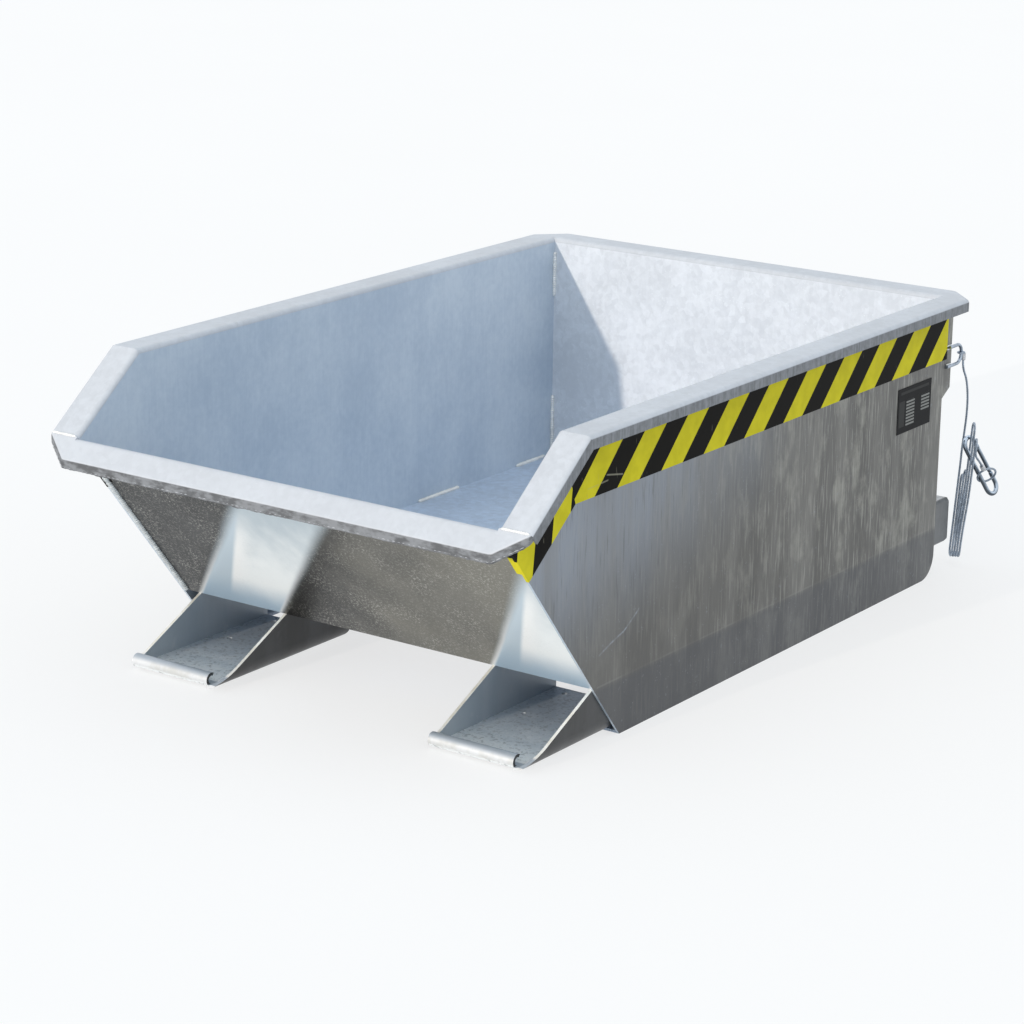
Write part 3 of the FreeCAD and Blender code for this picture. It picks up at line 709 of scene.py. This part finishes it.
# %% Pale zinc on rims, walls, floor, tube and welds
rim_tone = (0.565, 0.585, 0.625)
wall_tone = (0.735, 0.76, 0.8)
floor_tone = (0.515, 0.6, 0.72)
tube_tone = (0.46, 0.47, 0.48)
bead_tone = (0.82, 0.82, 0.8)
seam_tone = (0.54, 0.575, 0.595)
rim_zinc = pale_zinc("rim_zinc", rim_tone, 0.58, metal=0.12, streaks=0.3, spread=0.08, steep=0.34)
lip_zinc = pale_zinc("lip_zinc", rim_tone, 0.58, metal=0.12, streaks=0.1, spread=0.06, steep=0.33, ticks=0.0)
wall_zinc = pale_zinc("wall_zinc", wall_tone, 0.5, metal=0.2, spread=0.1, fleck=0.6, rear=0.6)
trough_zinc = pale_zinc("trough_zinc", floor_tone, 0.5, metal=0.2)
tube_zinc = pale_zinc("tube_zinc", tube_tone, 0.42, streaks=0.6)
cap_zinc = pale_zinc("cap_zinc", shaded(tube_tone, 0.38), 0.42, streaks=0.6)
weld_zinc = pale_zinc("weld_zinc", bead_tone, 0.36, metal=0.3, streaks=0.0, fleck=0.5)
seam_zinc = pale_zinc("seam_zinc", seam_tone, 0.42, metal=0.15, streaks=0.0, spread=0.25)
wear(rim_zinc, *rims)
wear(lip_zinc, lip_edge, "front_lip")
for weld in welds:
    wear(seam_zinc if weld.name.startswith("front_weld") else weld_zinc, weld)
wear(wall_zinc, "rear_wall")
wear(trough_zinc, "floor_sheet", "skid_strip_right", "skid_strip_left")
wear(tube_zinc, "rear_tube")
wear(cap_zinc, *tube_caps)
print("pale zinc on rims, walls, floor, tube and", len(welds), "sets of welds")


# %% [markdown]
# ## Side plates
# The plates are pale and clean inside, and dull outside, where they stand in the weather. The outer face is
# bluish near the rim, brown-grey in the middle and full of fine cream runs towards the rear. Below the
# floor's weld it is a shade darker, and one long scratch runs up from the foot. Which side a point is on
# can be read from the surface's own direction, so one finish does both faces.

# %% Scratches
def scratch(y, z, start, end, width):
    """1 along a straight mark from start to end on a side plate, and 0 elsewhere."""
    run = Vector(end) - Vector(start)
    way = run.normalized()
    from_y = y - start[0]
    from_z = z - start[1]
    along = from_y * way.x + from_z * way.y
    off = from_z * way.x - from_y * way.y
    inside = along.ramp(-0.002, 0.003) * along.ramp(run.length + 0.002, run.length - 0.003)
    return abs(off).ramp(width, width * 0.3) * inside


# %% Side plate finish
plate_scratch = ((-0.4161, 0.1387), (-0.383, 0.1506), (-0.3492, 0.1604), (-0.3091, 0.1851))
weld_height = 0.09
weld_ends = (-0.42, 0.61)
brown_grey, wet_blue = (0.108, 0.104, 0.097), (0.27, 0.295, 0.34)
band_grey, blot_cream = (0.185, 0.178, 0.165), (0.34, 0.33, 0.29)
run_dark, run_cream = (0.075, 0.076, 0.078), (0.37, 0.36, 0.325)
foot_shade, weld_ghost = (0.068, 0.074, 0.088), (0.28, 0.27, 0.25)
mark_grey = (0.3, 0.32, 0.36)
clean_blue, clean_pale = (0.468, 0.548, 0.645), (0.625, 0.693, 0.765)


def side_zinc():
    """Clean zinc on the inner face and weathered zinc on the outer one."""
    material, shader, place = new_finish("side_zinc", Metallic=0.25)
    grains, clouds, grit = zinc_grains(place), zinc_clouds(place), zinc_grit(place)
    runs, bands = zinc_runs(place), zinc_bands(place)
    x, y, z = (place.part(axis) for axis in range(3))
    to_rear = y.ramp(-0.35, 0.45)
    to_rim = (z - 0.25 * y).ramp(0.2, 0.48)
    blots = place.scaled(1.0, 1.0, 0.5).noise(22.0, 6.0, 0.65)
    weathered = (to_rim * (1 - to_rear)).mix(brown_grey, wet_blue)
    weathered = (bands.ramp(0.35, 0.68) * (0.5 + 0.5 * to_rear)).mix(weathered, band_grey)
    weathered = (blots.ramp(0.48, 0.66) * (0.1 + 0.55 * to_rear)).mix(weathered, blot_cream)
    weathered = (runs.ramp(0.5, 0.7) * (0.2 + 0.5 * to_rear)).mix(weathered, run_cream)
    weathered = (runs.ramp(0.46, 0.28) * 0.45).mix(weathered, run_dark)
    below_weld = z.ramp(weld_height + 0.004, weld_height - 0.01)
    weathered = (below_weld * 0.52).mix(weathered, foot_shade)
    ghost = scratch(y, z, (weld_ends[0], weld_height), (weld_ends[1], weld_height), 0.0022)
    weathered = (ghost * (0.3 + bands.ramp(0.4, 0.6)) * 0.22).mix(weathered, weld_ghost)
    marks = zinc_flecks(place) * 0.4 + grit.ramp(0.66, 0.72) * 0.2
    on_right = (x > 0.0) * (0.25 + 0.5 * grit.ramp(0.45, 0.6))
    for start, end in zip(plate_scratch, plate_scratch[1:]):
        marks = marks + on_right * scratch(y, z, start, end, 0.0024)
    weathered = marks.math("MINIMUM", marks, 1.0).mix(weathered, mark_grey)
    clean = (0.5 + 1.2 * (clouds - 0.5) + 0.5 * (grit - 0.5) + 0.5 * (bands - 0.5)
             + 0.3 * (runs - 0.5)).ramp(0.1, 0.9).mix(clean_blue, clean_pale)
    outside = (facing_of(place).part(0) * x) > 0.0
    feed(shader, Base_Color=outside.mix(clean, weathered),
         Roughness=0.46 + 0.2 * (clouds - 0.5) + 0.15 * (runs - 0.5),
         Normal=bump(clouds + 0.3 * grit + 0.2 * grains + 0.15 * runs, 0.2, zinc_relief))
    return material


wear(side_zinc(), *side_plates)
print("side plates, pale inside and weathered outside")


# %% [markdown]
# ## Front wall
# The front wall leans out over the ground and shows it: its outer face is a dark brown-grey, a painted
# reflection of the ground, with a pale patch above each shoe, a painted reflection of the shoe's bright
# floor under it. A slanted line parts each patch, and beyond it the patch is brightest. On a studio floor
# those reflections would turn round, so they are given to the colour as two slanted soft-edged patches on
# the wall, with painted glints along their edges and a painted shadow right of each. Tiny pale specks
# cover all of it.

# %% Front wall finish
wall_lean = math.radians(51)
wall_up = Vector((0, -math.cos(wall_lean), math.sin(wall_lean)))
# For each shoe: its painted reflection's two edges and slant, and the foot and slant of the line inside it
shoe_painted_reflections = ((-0.367, -0.195, 0.79, -0.3, 0.59), (0.2135, 0.396, 0.625, 0.266, 0.465))
# Tones of the painted ground reflection, the painted shadow, the painted reflections above the shoes, the
# specks and the inner face
painted_ground_dark, painted_ground_pale = (0.04, 0.042, 0.043), (0.062, 0.064, 0.065)
painted_ground_brown, patch_shadow = (0.235, 0.228, 0.195), (0.062, 0.06, 0.058)
painted_reflection_low, painted_reflection_high = (0.95, 0.97, 0.97), (0.5, 0.57, 0.62)
painted_reflection_dim, painted_reflection_streak = (0.56, 0.65, 0.72), (1.0, 1.0, 0.99)
painted_reflection_foot, painted_glint = (0.42, 0.54, 0.65), (0.86, 0.88, 0.9)
speck_cream, speck_grey = (0.56, 0.55, 0.51), (0.6, 0.62, 0.64)
inner_dark, inner_pale = (0.5, 0.53, 0.57), (0.6, 0.63, 0.66)


def front_zinc():
    """Painted reflections of the ground and of each shoe outside, and clean zinc inside."""
    material, shader, place = new_finish("front_zinc")
    clouds, bands = zinc_clouds(place), zinc_bands(place)
    x, y, z = (place.part(axis) for axis in range(3))
    height = (y - front_foot[0]) * wall_up.y + (z - front_foot[1]) * wall_up.z
    softness = 0.006 + 0.05 * height
    patch = shadow = edges = bright = highlight_streak_mask = 0.0
    # Masks of each painted reflection, its brightest part beyond the line, its painted highlight streak, the
    # painted shadow right of it and the painted glints on its edges
    for left, right, slant, line, line_slant in shoe_painted_reflections:
        along = x - slant * height + 0.012 * (clouds - 0.5)
        past_left = along - left
        past_right = along - right
        within = (past_left / softness).ramp(-1.0, 1.0) * (past_right / softness).ramp(1.0, -1.0)
        past_line = x - line_slant * height - line
        beyond = within * past_line.ramp(-0.006, 0.006)
        patch = patch + within
        bright = bright + beyond
        highlight_streak_mask = highlight_streak_mask + beyond * past_line.ramp(0.04, 0.004)
        shadow = shadow + past_right.ramp(0.0, 0.02) * past_right.ramp(0.06, 0.025)
        edges = edges + abs(past_left).ramp(0.009, 0.002) + abs(past_right).ramp(0.009, 0.002)
    # Painted reflection of the dark ground on the outer face, browner to the right, with a painted shadow
    # right of each patch and pale specks of dust
    dull = bands.ramp(0.35, 0.65).mix(painted_ground_dark, painted_ground_pale)
    to_right = (x + 0.5 * (clouds - 0.5) + 0.3 * (bands - 0.5)).ramp(-0.22, 0.42)
    dull = to_right.mix(dull, painted_ground_brown)
    dull = (shadow * 0.5).mix(dull, patch_shadow)
    # Painted reflection of each shoe's bright floor, paler low down, with a white painted highlight streak,
    # a bluer foot and painted glints at its edges
    wisps = place.scaled(30.0, 30.0, 7.0).noise(1.0, 4.0)
    pale = (height + 0.12 * (wisps - 0.5)).ramp(0.09, 0.31).mix(painted_reflection_low, painted_reflection_high)
    pale = (1 - bright).mix(pale, painted_reflection_dim)
    pale = (highlight_streak_mask * height.ramp(0.29, 0.16)).mix(pale, painted_reflection_streak)
    pale = (height + 0.05 * (clouds - 0.5)).ramp(0.085, 0.005).mix(pale, painted_reflection_foot)
    pale = (edges * height.ramp(0.25, 0.05)).mix(pale, painted_glint)
    specks = place.noise(300.0, 2.0).ramp(0.47, 0.72) * (0.35 + 0.65 * place.noise(20.0).ramp(0.4, 0.65))
    dull = (specks * 0.55 + zinc_flecks(place) * 0.5).mix(dull, speck_cream)
    outer = patch.mix(dull, (specks * 0.15).mix(pale, speck_grey))
    inner = clouds.ramp(0.25, 0.75).mix(inner_dark, inner_pale)
    way = facing_of(place)
    outside = (way.part(1) * -wall_up.z + way.part(2) * wall_up.y) > 0.5
    relief = clouds + 0.3 * zinc_grit(place) + 0.2 * zinc_grains(place)
    feed(shader, Base_Color=outside.mix(inner, outer), Metallic=0.8 - 0.65 * patch,
         Roughness=0.36 + 0.2 * (clouds - 0.5), Normal=bump(relief, 0.15, zinc_relief))
    return material


wear(front_zinc(), "front_wall")
print("front wall with", len(shoe_painted_reflections), "pale patches")


# %% [markdown]
# ## Shoes
# The shoe floors are mottled, paler at the front and darker towards the rear. The cheeks are dark inside,
# and their outer faces are painted near-black as painted shade. Their cut top edges carry an uneven pale
# cream painted highlight, and the rolled front edge is paler. Edges could have a finish of their own, but
# the height of a point and the way it faces already tell them apart.

# %% Shoe finish
shoe_front = -0.585144
shoe_top = 0.0125
shoe_middles = (-0.277, 0.305)
floor_rear, floor_front = (0.55, 0.6, 0.65), (0.88, 0.91, 0.92)
floor_mottle, floor_speck, floor_pit = (0.85, 0.86, 0.87), (0.92, 0.92, 0.9), (0.34, 0.36, 0.37)
cheek_rear, cheek_front = (0.38, 0.43, 0.48), (0.45, 0.5, 0.54)
cheek_band, cheek_mottle = (0.46, 0.5, 0.54), (0.55, 0.57, 0.59)
painted_shade_dark, painted_shade_pale, painted_shade_mottle = (0.04, 0.04, 0.04), (0.062, 0.063, 0.065), (0.14, 0.14, 0.145)
roll_dark, roll_pale, roll_top = (0.63, 0.63, 0.62), (0.73, 0.74, 0.76), (0.42, 0.47, 0.53)
painted_highlight_cream, painted_highlight_pale = (0.78, 0.75, 0.66), (0.93, 0.92, 0.88)
fleck_grey = (0.6, 0.61, 0.62)


def shoe_zinc():
    """Mottled floors, dark cheeks with painted shade outside, and pale edges with a painted highlight on
    top.
    """
    material, shader, place = new_finish("shoe_zinc", Metallic=0.3)
    bands = zinc_bands(place)
    x, y, z = (place.part(axis) for axis in range(3))
    way = facing_of(place)
    sideways, upward = way.part(0), way.part(2)
    to_front = y.ramp(-0.44, -0.575)
    mottle = place.noise(28.0, 6.0, 0.65)
    specks = place.noise(260.0, 3.0).ramp(0.5, 0.66)
    pits = place.noise(150.0, 4.0).ramp(0.47, 0.36)
    floor = to_front.mix(floor_rear, floor_front)
    floor = (mottle.ramp(0.48, 0.7) * (0.3 + 0.5 * to_front)).mix(floor, floor_mottle)
    floor = (specks * (0.2 + 0.4 * to_front)).mix(floor, floor_speck)
    floor = (pits * 0.6).mix(floor, floor_pit)
    inner = to_front.mix(cheek_rear, cheek_front)
    inner = (bands.ramp(0.45, 0.65) * 0.5).mix(inner, cheek_band)
    inner = (mottle.ramp(0.58, 0.75) * 0.5).mix(inner, cheek_mottle)
    # Painted shade: the cheeks' outer faces are near-black, faintly mottled
    outer = bands.ramp(0.35, 0.65).mix(painted_shade_dark, painted_shade_pale)
    outer = (mottle.ramp(0.58, 0.75) * 0.3).mix(outer, painted_shade_mottle)
    from_middle = x - (shoe_middles[0] + (x > 0.0) * (shoe_middles[1] - shoe_middles[0]))
    cheek = ((from_middle * sideways) > 0.0).mix(inner, outer)
    on_cheek = abs(sideways).ramp(0.4, 0.7)
    on_edge = 1 - on_cheek
    colour = on_cheek.mix(floor, cheek)
    # Painted highlight: an uneven pale cream line along the cheeks' cut top edges
    cut_edge = on_edge * z.ramp(shoe_top, shoe_top + 0.002) * (y > shoe_front + 0.012)
    painted_edge_highlight = mottle.ramp(0.35, 0.6).mix(painted_highlight_cream, painted_highlight_pale)
    colour = cut_edge.mix(colour, painted_edge_highlight)
    roll = (y - shoe_front).ramp(0.024, 0.018) * upward.ramp(-0.6, -0.2)
    rubbed = mottle.ramp(0.4, 0.62).mix(roll_dark, roll_pale)
    rubbed = upward.ramp(0.3, 0.95).mix(rubbed, roll_top)
    colour = (roll * on_edge).mix(colour, rubbed)
    colour = (zinc_flecks(place) * on_edge * 0.5).mix(colour, fleck_grey)
    feed(shader, Base_Color=colour, Roughness=0.4 + 0.25 * (mottle - 0.5),
         Normal=bump(mottle + 0.3 * zinc_grit(place), 0.3, zinc_relief))
    return material


wear(shoe_zinc(), *shoes)
print("shoes mottled, with bright edges, on", len(shoes), "sheets")


# %% [markdown]
# ## Wire, ferrules and hook
# The rope's wires are bluish zinc, the ferrules pressed aluminium, and the bent bar and the hook are plated
# bright. Bare bright metal shows what lies round it, and outdoors that is dark ground below. The studio's
# floor is pale, so the lower faces are given a darker tone, and fine upright scratches break the shine.

# %% Rope and hook finishes
def bright_metal(name, tone, roughness, scale, under=0.7, turn=0.1):
    """Bright metal. Faces that look below the turn take a share of the tone down to under."""
    material, shader, place = new_finish(name, Metallic=1.0)
    clouds = place.noise(scale, 5.0)
    scratches = place.scaled(scale * 9, scale * 9, scale).noise(1.0, 3.0)
    colour = clouds.ramp(0.3, 0.7).mix(shaded(tone, 0.75), shaded(tone, 1.15))
    # Painted reflection of dark ground: faces that look below the turn are darkened
    below = facing_of(place).part(2).ramp(turn, turn - 0.7)
    colour = (below * (1 - under)).mix(colour, shaded(tone, 0.12))
    feed(shader, Base_Color=colour, Roughness=roughness + 0.3 * (clouds - 0.5) + 0.15 * (scratches - 0.5),
         Normal=bump(scratches, 0.12, 0.0003))
    return material


rope_wire = bright_metal("rope_wire", (0.42, 0.49, 0.58), 0.36, 140.0)
ferrule_metal = bright_metal("ferrule_metal", (0.62, 0.64, 0.67), 0.38, 220.0)
hook_plating = bright_metal("hook_plating", (0.52, 0.62, 0.74), 0.14, 90.0, under=0.05, turn=0.6)
bar_zinc = bright_metal("bar_zinc", (0.4, 0.47, 0.56), 0.3, 90.0, under=0.4)
wear(rope_wire, rope, *eyes)
wear(ferrule_metal, *ferrules)
wear(hook_plating, "snap_hook_body", "snap_hook_gate", "gate_rivet")
wear(bar_zinc, "rope_bar_eye")
print("bright metals:", [m.name for m in (rope_wire, ferrule_metal, hook_plating, bar_zinc)])

# %% [markdown]
# ## Hazard tape
# Yellow and black film runs along each side under the rim, with stripes at 45 degrees. It was laid in two
# lengths, so on the sloping front the stripes turn with the rim. An image would need the film unwrapped,
# while a stripe is only the fraction of a distance across the stripes, so it is worked out from the place
# itself.

# %% Tape finish
stripe_pitch = 0.118
rim_top = 0.504
rim_slope = math.radians(38.2)
bend_y = -0.525144
level_start = -0.823144
slope_start = -0.0568
left_shift = 0.5
scratch_width = 0.0018
# For each scratch: its start, its end and how much of the ink it takes
tape_scratches = (((-0.4055, 0.4128), (-0.3622, 0.4047), 0.6), ((-0.4209, 0.4033), (-0.401, 0.4041), 0.5),
                  ((-0.4548, 0.4022), (-0.424, 0.4028), 0.2))
yellow_dark, yellow_pale = (0.6, 0.52, 0.018), (0.7, 0.61, 0.025)
ink_dark, ink_pale = (0.004, 0.0036, 0.003), (0.008, 0.0072, 0.006)
worn_film = (0.35, 0.33, 0.25)


def hazard_film():
    """Striped film that turns with the rim at the bend, with scuffs and a few scratches."""
    material, shader, place = new_finish("hazard_film", Metallic=0.0, Specular_IOR_Level=0.04)
    x, y, z = (place.part(axis) for axis in range(3))
    past_bend = y - bend_y
    below_rim = z - rim_top
    level = (y - z - level_start) / stripe_pitch
    along = past_bend * math.cos(rim_slope) + below_rim * math.sin(rim_slope)
    square = below_rim * math.cos(rim_slope) - past_bend * math.sin(rim_slope)
    slope = (along - square - slope_start) / stripe_pitch + left_shift * (x < 0.0)
    on_slope = (past_bend + below_rim * math.tan(rim_slope / 2)) < 0.0
    level_black = level.math("FRACT", level) < 0.5
    slope_black = slope.math("FRACT", slope) < 0.5
    black = on_slope * slope_black + (1 - on_slope) * level_black
    clouds = place.noise(30.0, 5.0)
    scuffs = place.scaled(120.0, 120.0, 25.0).noise(1.0, 4.0)
    yellow = clouds.ramp(0.3, 0.7).mix(yellow_dark, yellow_pale)
    ink = clouds.ramp(0.3, 0.7).mix(ink_dark, ink_pale)
    worn = scuffs.ramp(0.66, 0.74) * 0.25
    for start, end, depth in tape_scratches:
        worn = worn + depth * (x > 0.0) * scratch(y, z, start, end, scratch_width)
    feed(shader, Base_Color=worn.mix(black.mix(yellow, ink), worn_film),
         Roughness=0.42 + 0.3 * (clouds - 0.5), Normal=bump(clouds, 0.15, 0.001))
    return material


wear(hazard_film(), "hazard_tape_right", "hazard_tape_left")
print("hazard tape with stripes", stripe_pitch / 2, "m wide")

# %% [markdown]
# ## Rating plate
# A black plate with blank pale fields sits below the tape's rear end. Real fields could be small raised
# pieces, but they are flat print, so each is a box in the plate's own shares of length and height. Rows cut
# the two pale fields into lines, and two fainter boxes stand for rules beside and above them.

# %% Plate finish
plate_low, plate_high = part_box("rating_plate")
# Each box: from and to along the plate, then from and to up the plate
left_field, right_field = (0.25, 0.5, 0.143, 0.715), (0.7, 0.95, 0.357, 0.715)
side_rule, top_rule = (0.04, 0.2, 0.143, 0.715), (0.08, 0.92, 0.86, 0.92)
row_count = 14.0
row_fill = 0.58
plate_black, plate_grey, field_grey = (0.008, 0.008, 0.009), (0.015, 0.015, 0.016), (0.3, 0.295, 0.275)


def plate_film():
    """Black film with two pale fields cut into rows, and two faint rules."""
    material, shader, place = new_finish("plate_film", Metallic=0.0, Specular_IOR_Level=0.06)
    size = plate_high - plate_low
    u = (place.part(1) - plate_low.y) / size.y
    v = (place.part(2) - plate_low.z) / size.z

    def within(left, right, low, high):
        """1 inside a box on the plate, and 0 elsewhere."""
        return (u > left) * (u < right) * (v > low) * (v < high)

    clouds = place.noise(60.0, 4.0)
    row = v * row_count
    rows = row.math("FRACT", row) < row_fill
    rules = within(*side_rule) + within(*top_rule)
    fields = (within(*left_field) + within(*right_field)) * rows + 0.12 * rules
    black = clouds.ramp(0.3, 0.7).mix(plate_black, plate_grey)
    feed(shader, Base_Color=(fields * 0.8).mix(black, field_grey), Roughness=0.4 + 0.25 * (clouds - 0.5))
    return material


wear(plate_film(), "rating_plate")
print("rating plate,", [round(s, 3) for s in (plate_high - plate_low)], "m")

# %% [markdown]
# ## Light and floor
# Two lamps and the world light the skip. A low sun-like lamp from the front lights the rear wall and leaves
# the shadow of the left side on it, a very soft one overhead brightens the rims, and the world fills in.
# The floor is plain and pale. For the camera, and for what metal mirrors, part of its light is a white
# glow, so the ground goes white round the skip while its shadow stays.

# %% Lamps
lamp_distance = 4


def add_sun(name, travel, energy, angle, colour):
    """A sun lamp whose light travels in a given direction, with its width in the sky in degrees."""
    light = bpy.data.lights.new(name, "SUN")
    light.energy = energy
    light.angle = math.radians(angle)
    light.color = colour
    lamp = bpy.data.objects.new(name, light)
    lamp.location = -lamp_distance * Vector(travel)
    lamp.rotation_euler = Vector(travel).to_track_quat("-Z", "Y").to_euler()
    bpy.context.collection.objects.link(lamp)
    print(name, "of", energy)


add_sun("front_lamp", (0.129, 0.976, -0.19), 1.66, 0.9, (1.0, 0.9, 0.78))
add_sun("overhead_lamp", (0.05, 0.1, -1.0), 0.3, 80, (1.0, 1.0, 1.0))

# %% World
world = bpy.data.worlds.new("studio")
world.use_nodes = True
sky = world.node_tree.nodes["Background"]
sky.inputs["Color"].default_value = (0.84, 0.93, 1.0, 1)
sky.inputs["Strength"].default_value = 0.92
bpy.context.scene.world = world


def seen_directly(tree):
    """1 for rays of the camera and for what metal or glass shows, 0 for light that falls on the skip."""
    rays = ("Is Camera Ray", "Is Glossy Ray", "Is Transmission Ray")
    return sum(Wire(tree).node("ShaderNodeLightPath", out=ray) for ray in rays).ramp(0.0, 1.0)


backdrop = Wire(world.node_tree).node("ShaderNodeBackground", (), {"Color": (1, 1, 1, 1), "Strength": 1.0})
shown_sky = backdrop.node("ShaderNodeMixShader", (), {
    0: seen_directly(world.node_tree), 1: Wire(world.node_tree, sky.outputs[0]), 2: backdrop})
world.node_tree.links.new(shown_sky.socket, world.node_tree.nodes["World Output"].inputs[0])
print("a world of", round(sky.inputs["Strength"].default_value, 2))

# %% Floor
floor_reach = 30.0
glow_share = 0.7
floor_grey, floor_white = (0.87, 0.87, 0.87), (0.9, 0.9, 0.9)
floor_material, floor_shader, floor_place = new_finish("floor_paint", Roughness=0.9, Specular_IOR_Level=0.1)
floor_tree = floor_place.tree
feed(floor_shader, Base_Color=floor_place.noise(0.6, 3.0).ramp(0.2, 0.8).mix(floor_grey, floor_white))
glow = floor_place.node("ShaderNodeEmission", (), {"Strength": 1.0})
painted = Wire(floor_tree, floor_shader.outputs[0])
shown_floor = floor_place.node("ShaderNodeMixShader", (), {
    0: seen_directly(floor_tree) * glow_share, 1: painted, 2: glow})
floor_tree.links.new(shown_floor.socket, floor_tree.nodes["Material Output"].inputs[0])
floor_corners = [(x * floor_reach, y * floor_reach, 0) for x, y in ((-1, -1), (1, -1), (1, 1), (-1, 1))]
floor = bpy.data.objects.new("studio_floor", mesh_from("studio_floor", floor_corners, [(0, 1, 2, 3)]))
bpy.context.collection.objects.link(floor)
floor.data.materials.append(floor_material)
bpy.context.scene.view_settings.view_transform = "Standard"
print("floor", 2 * floor_reach, "m wide")
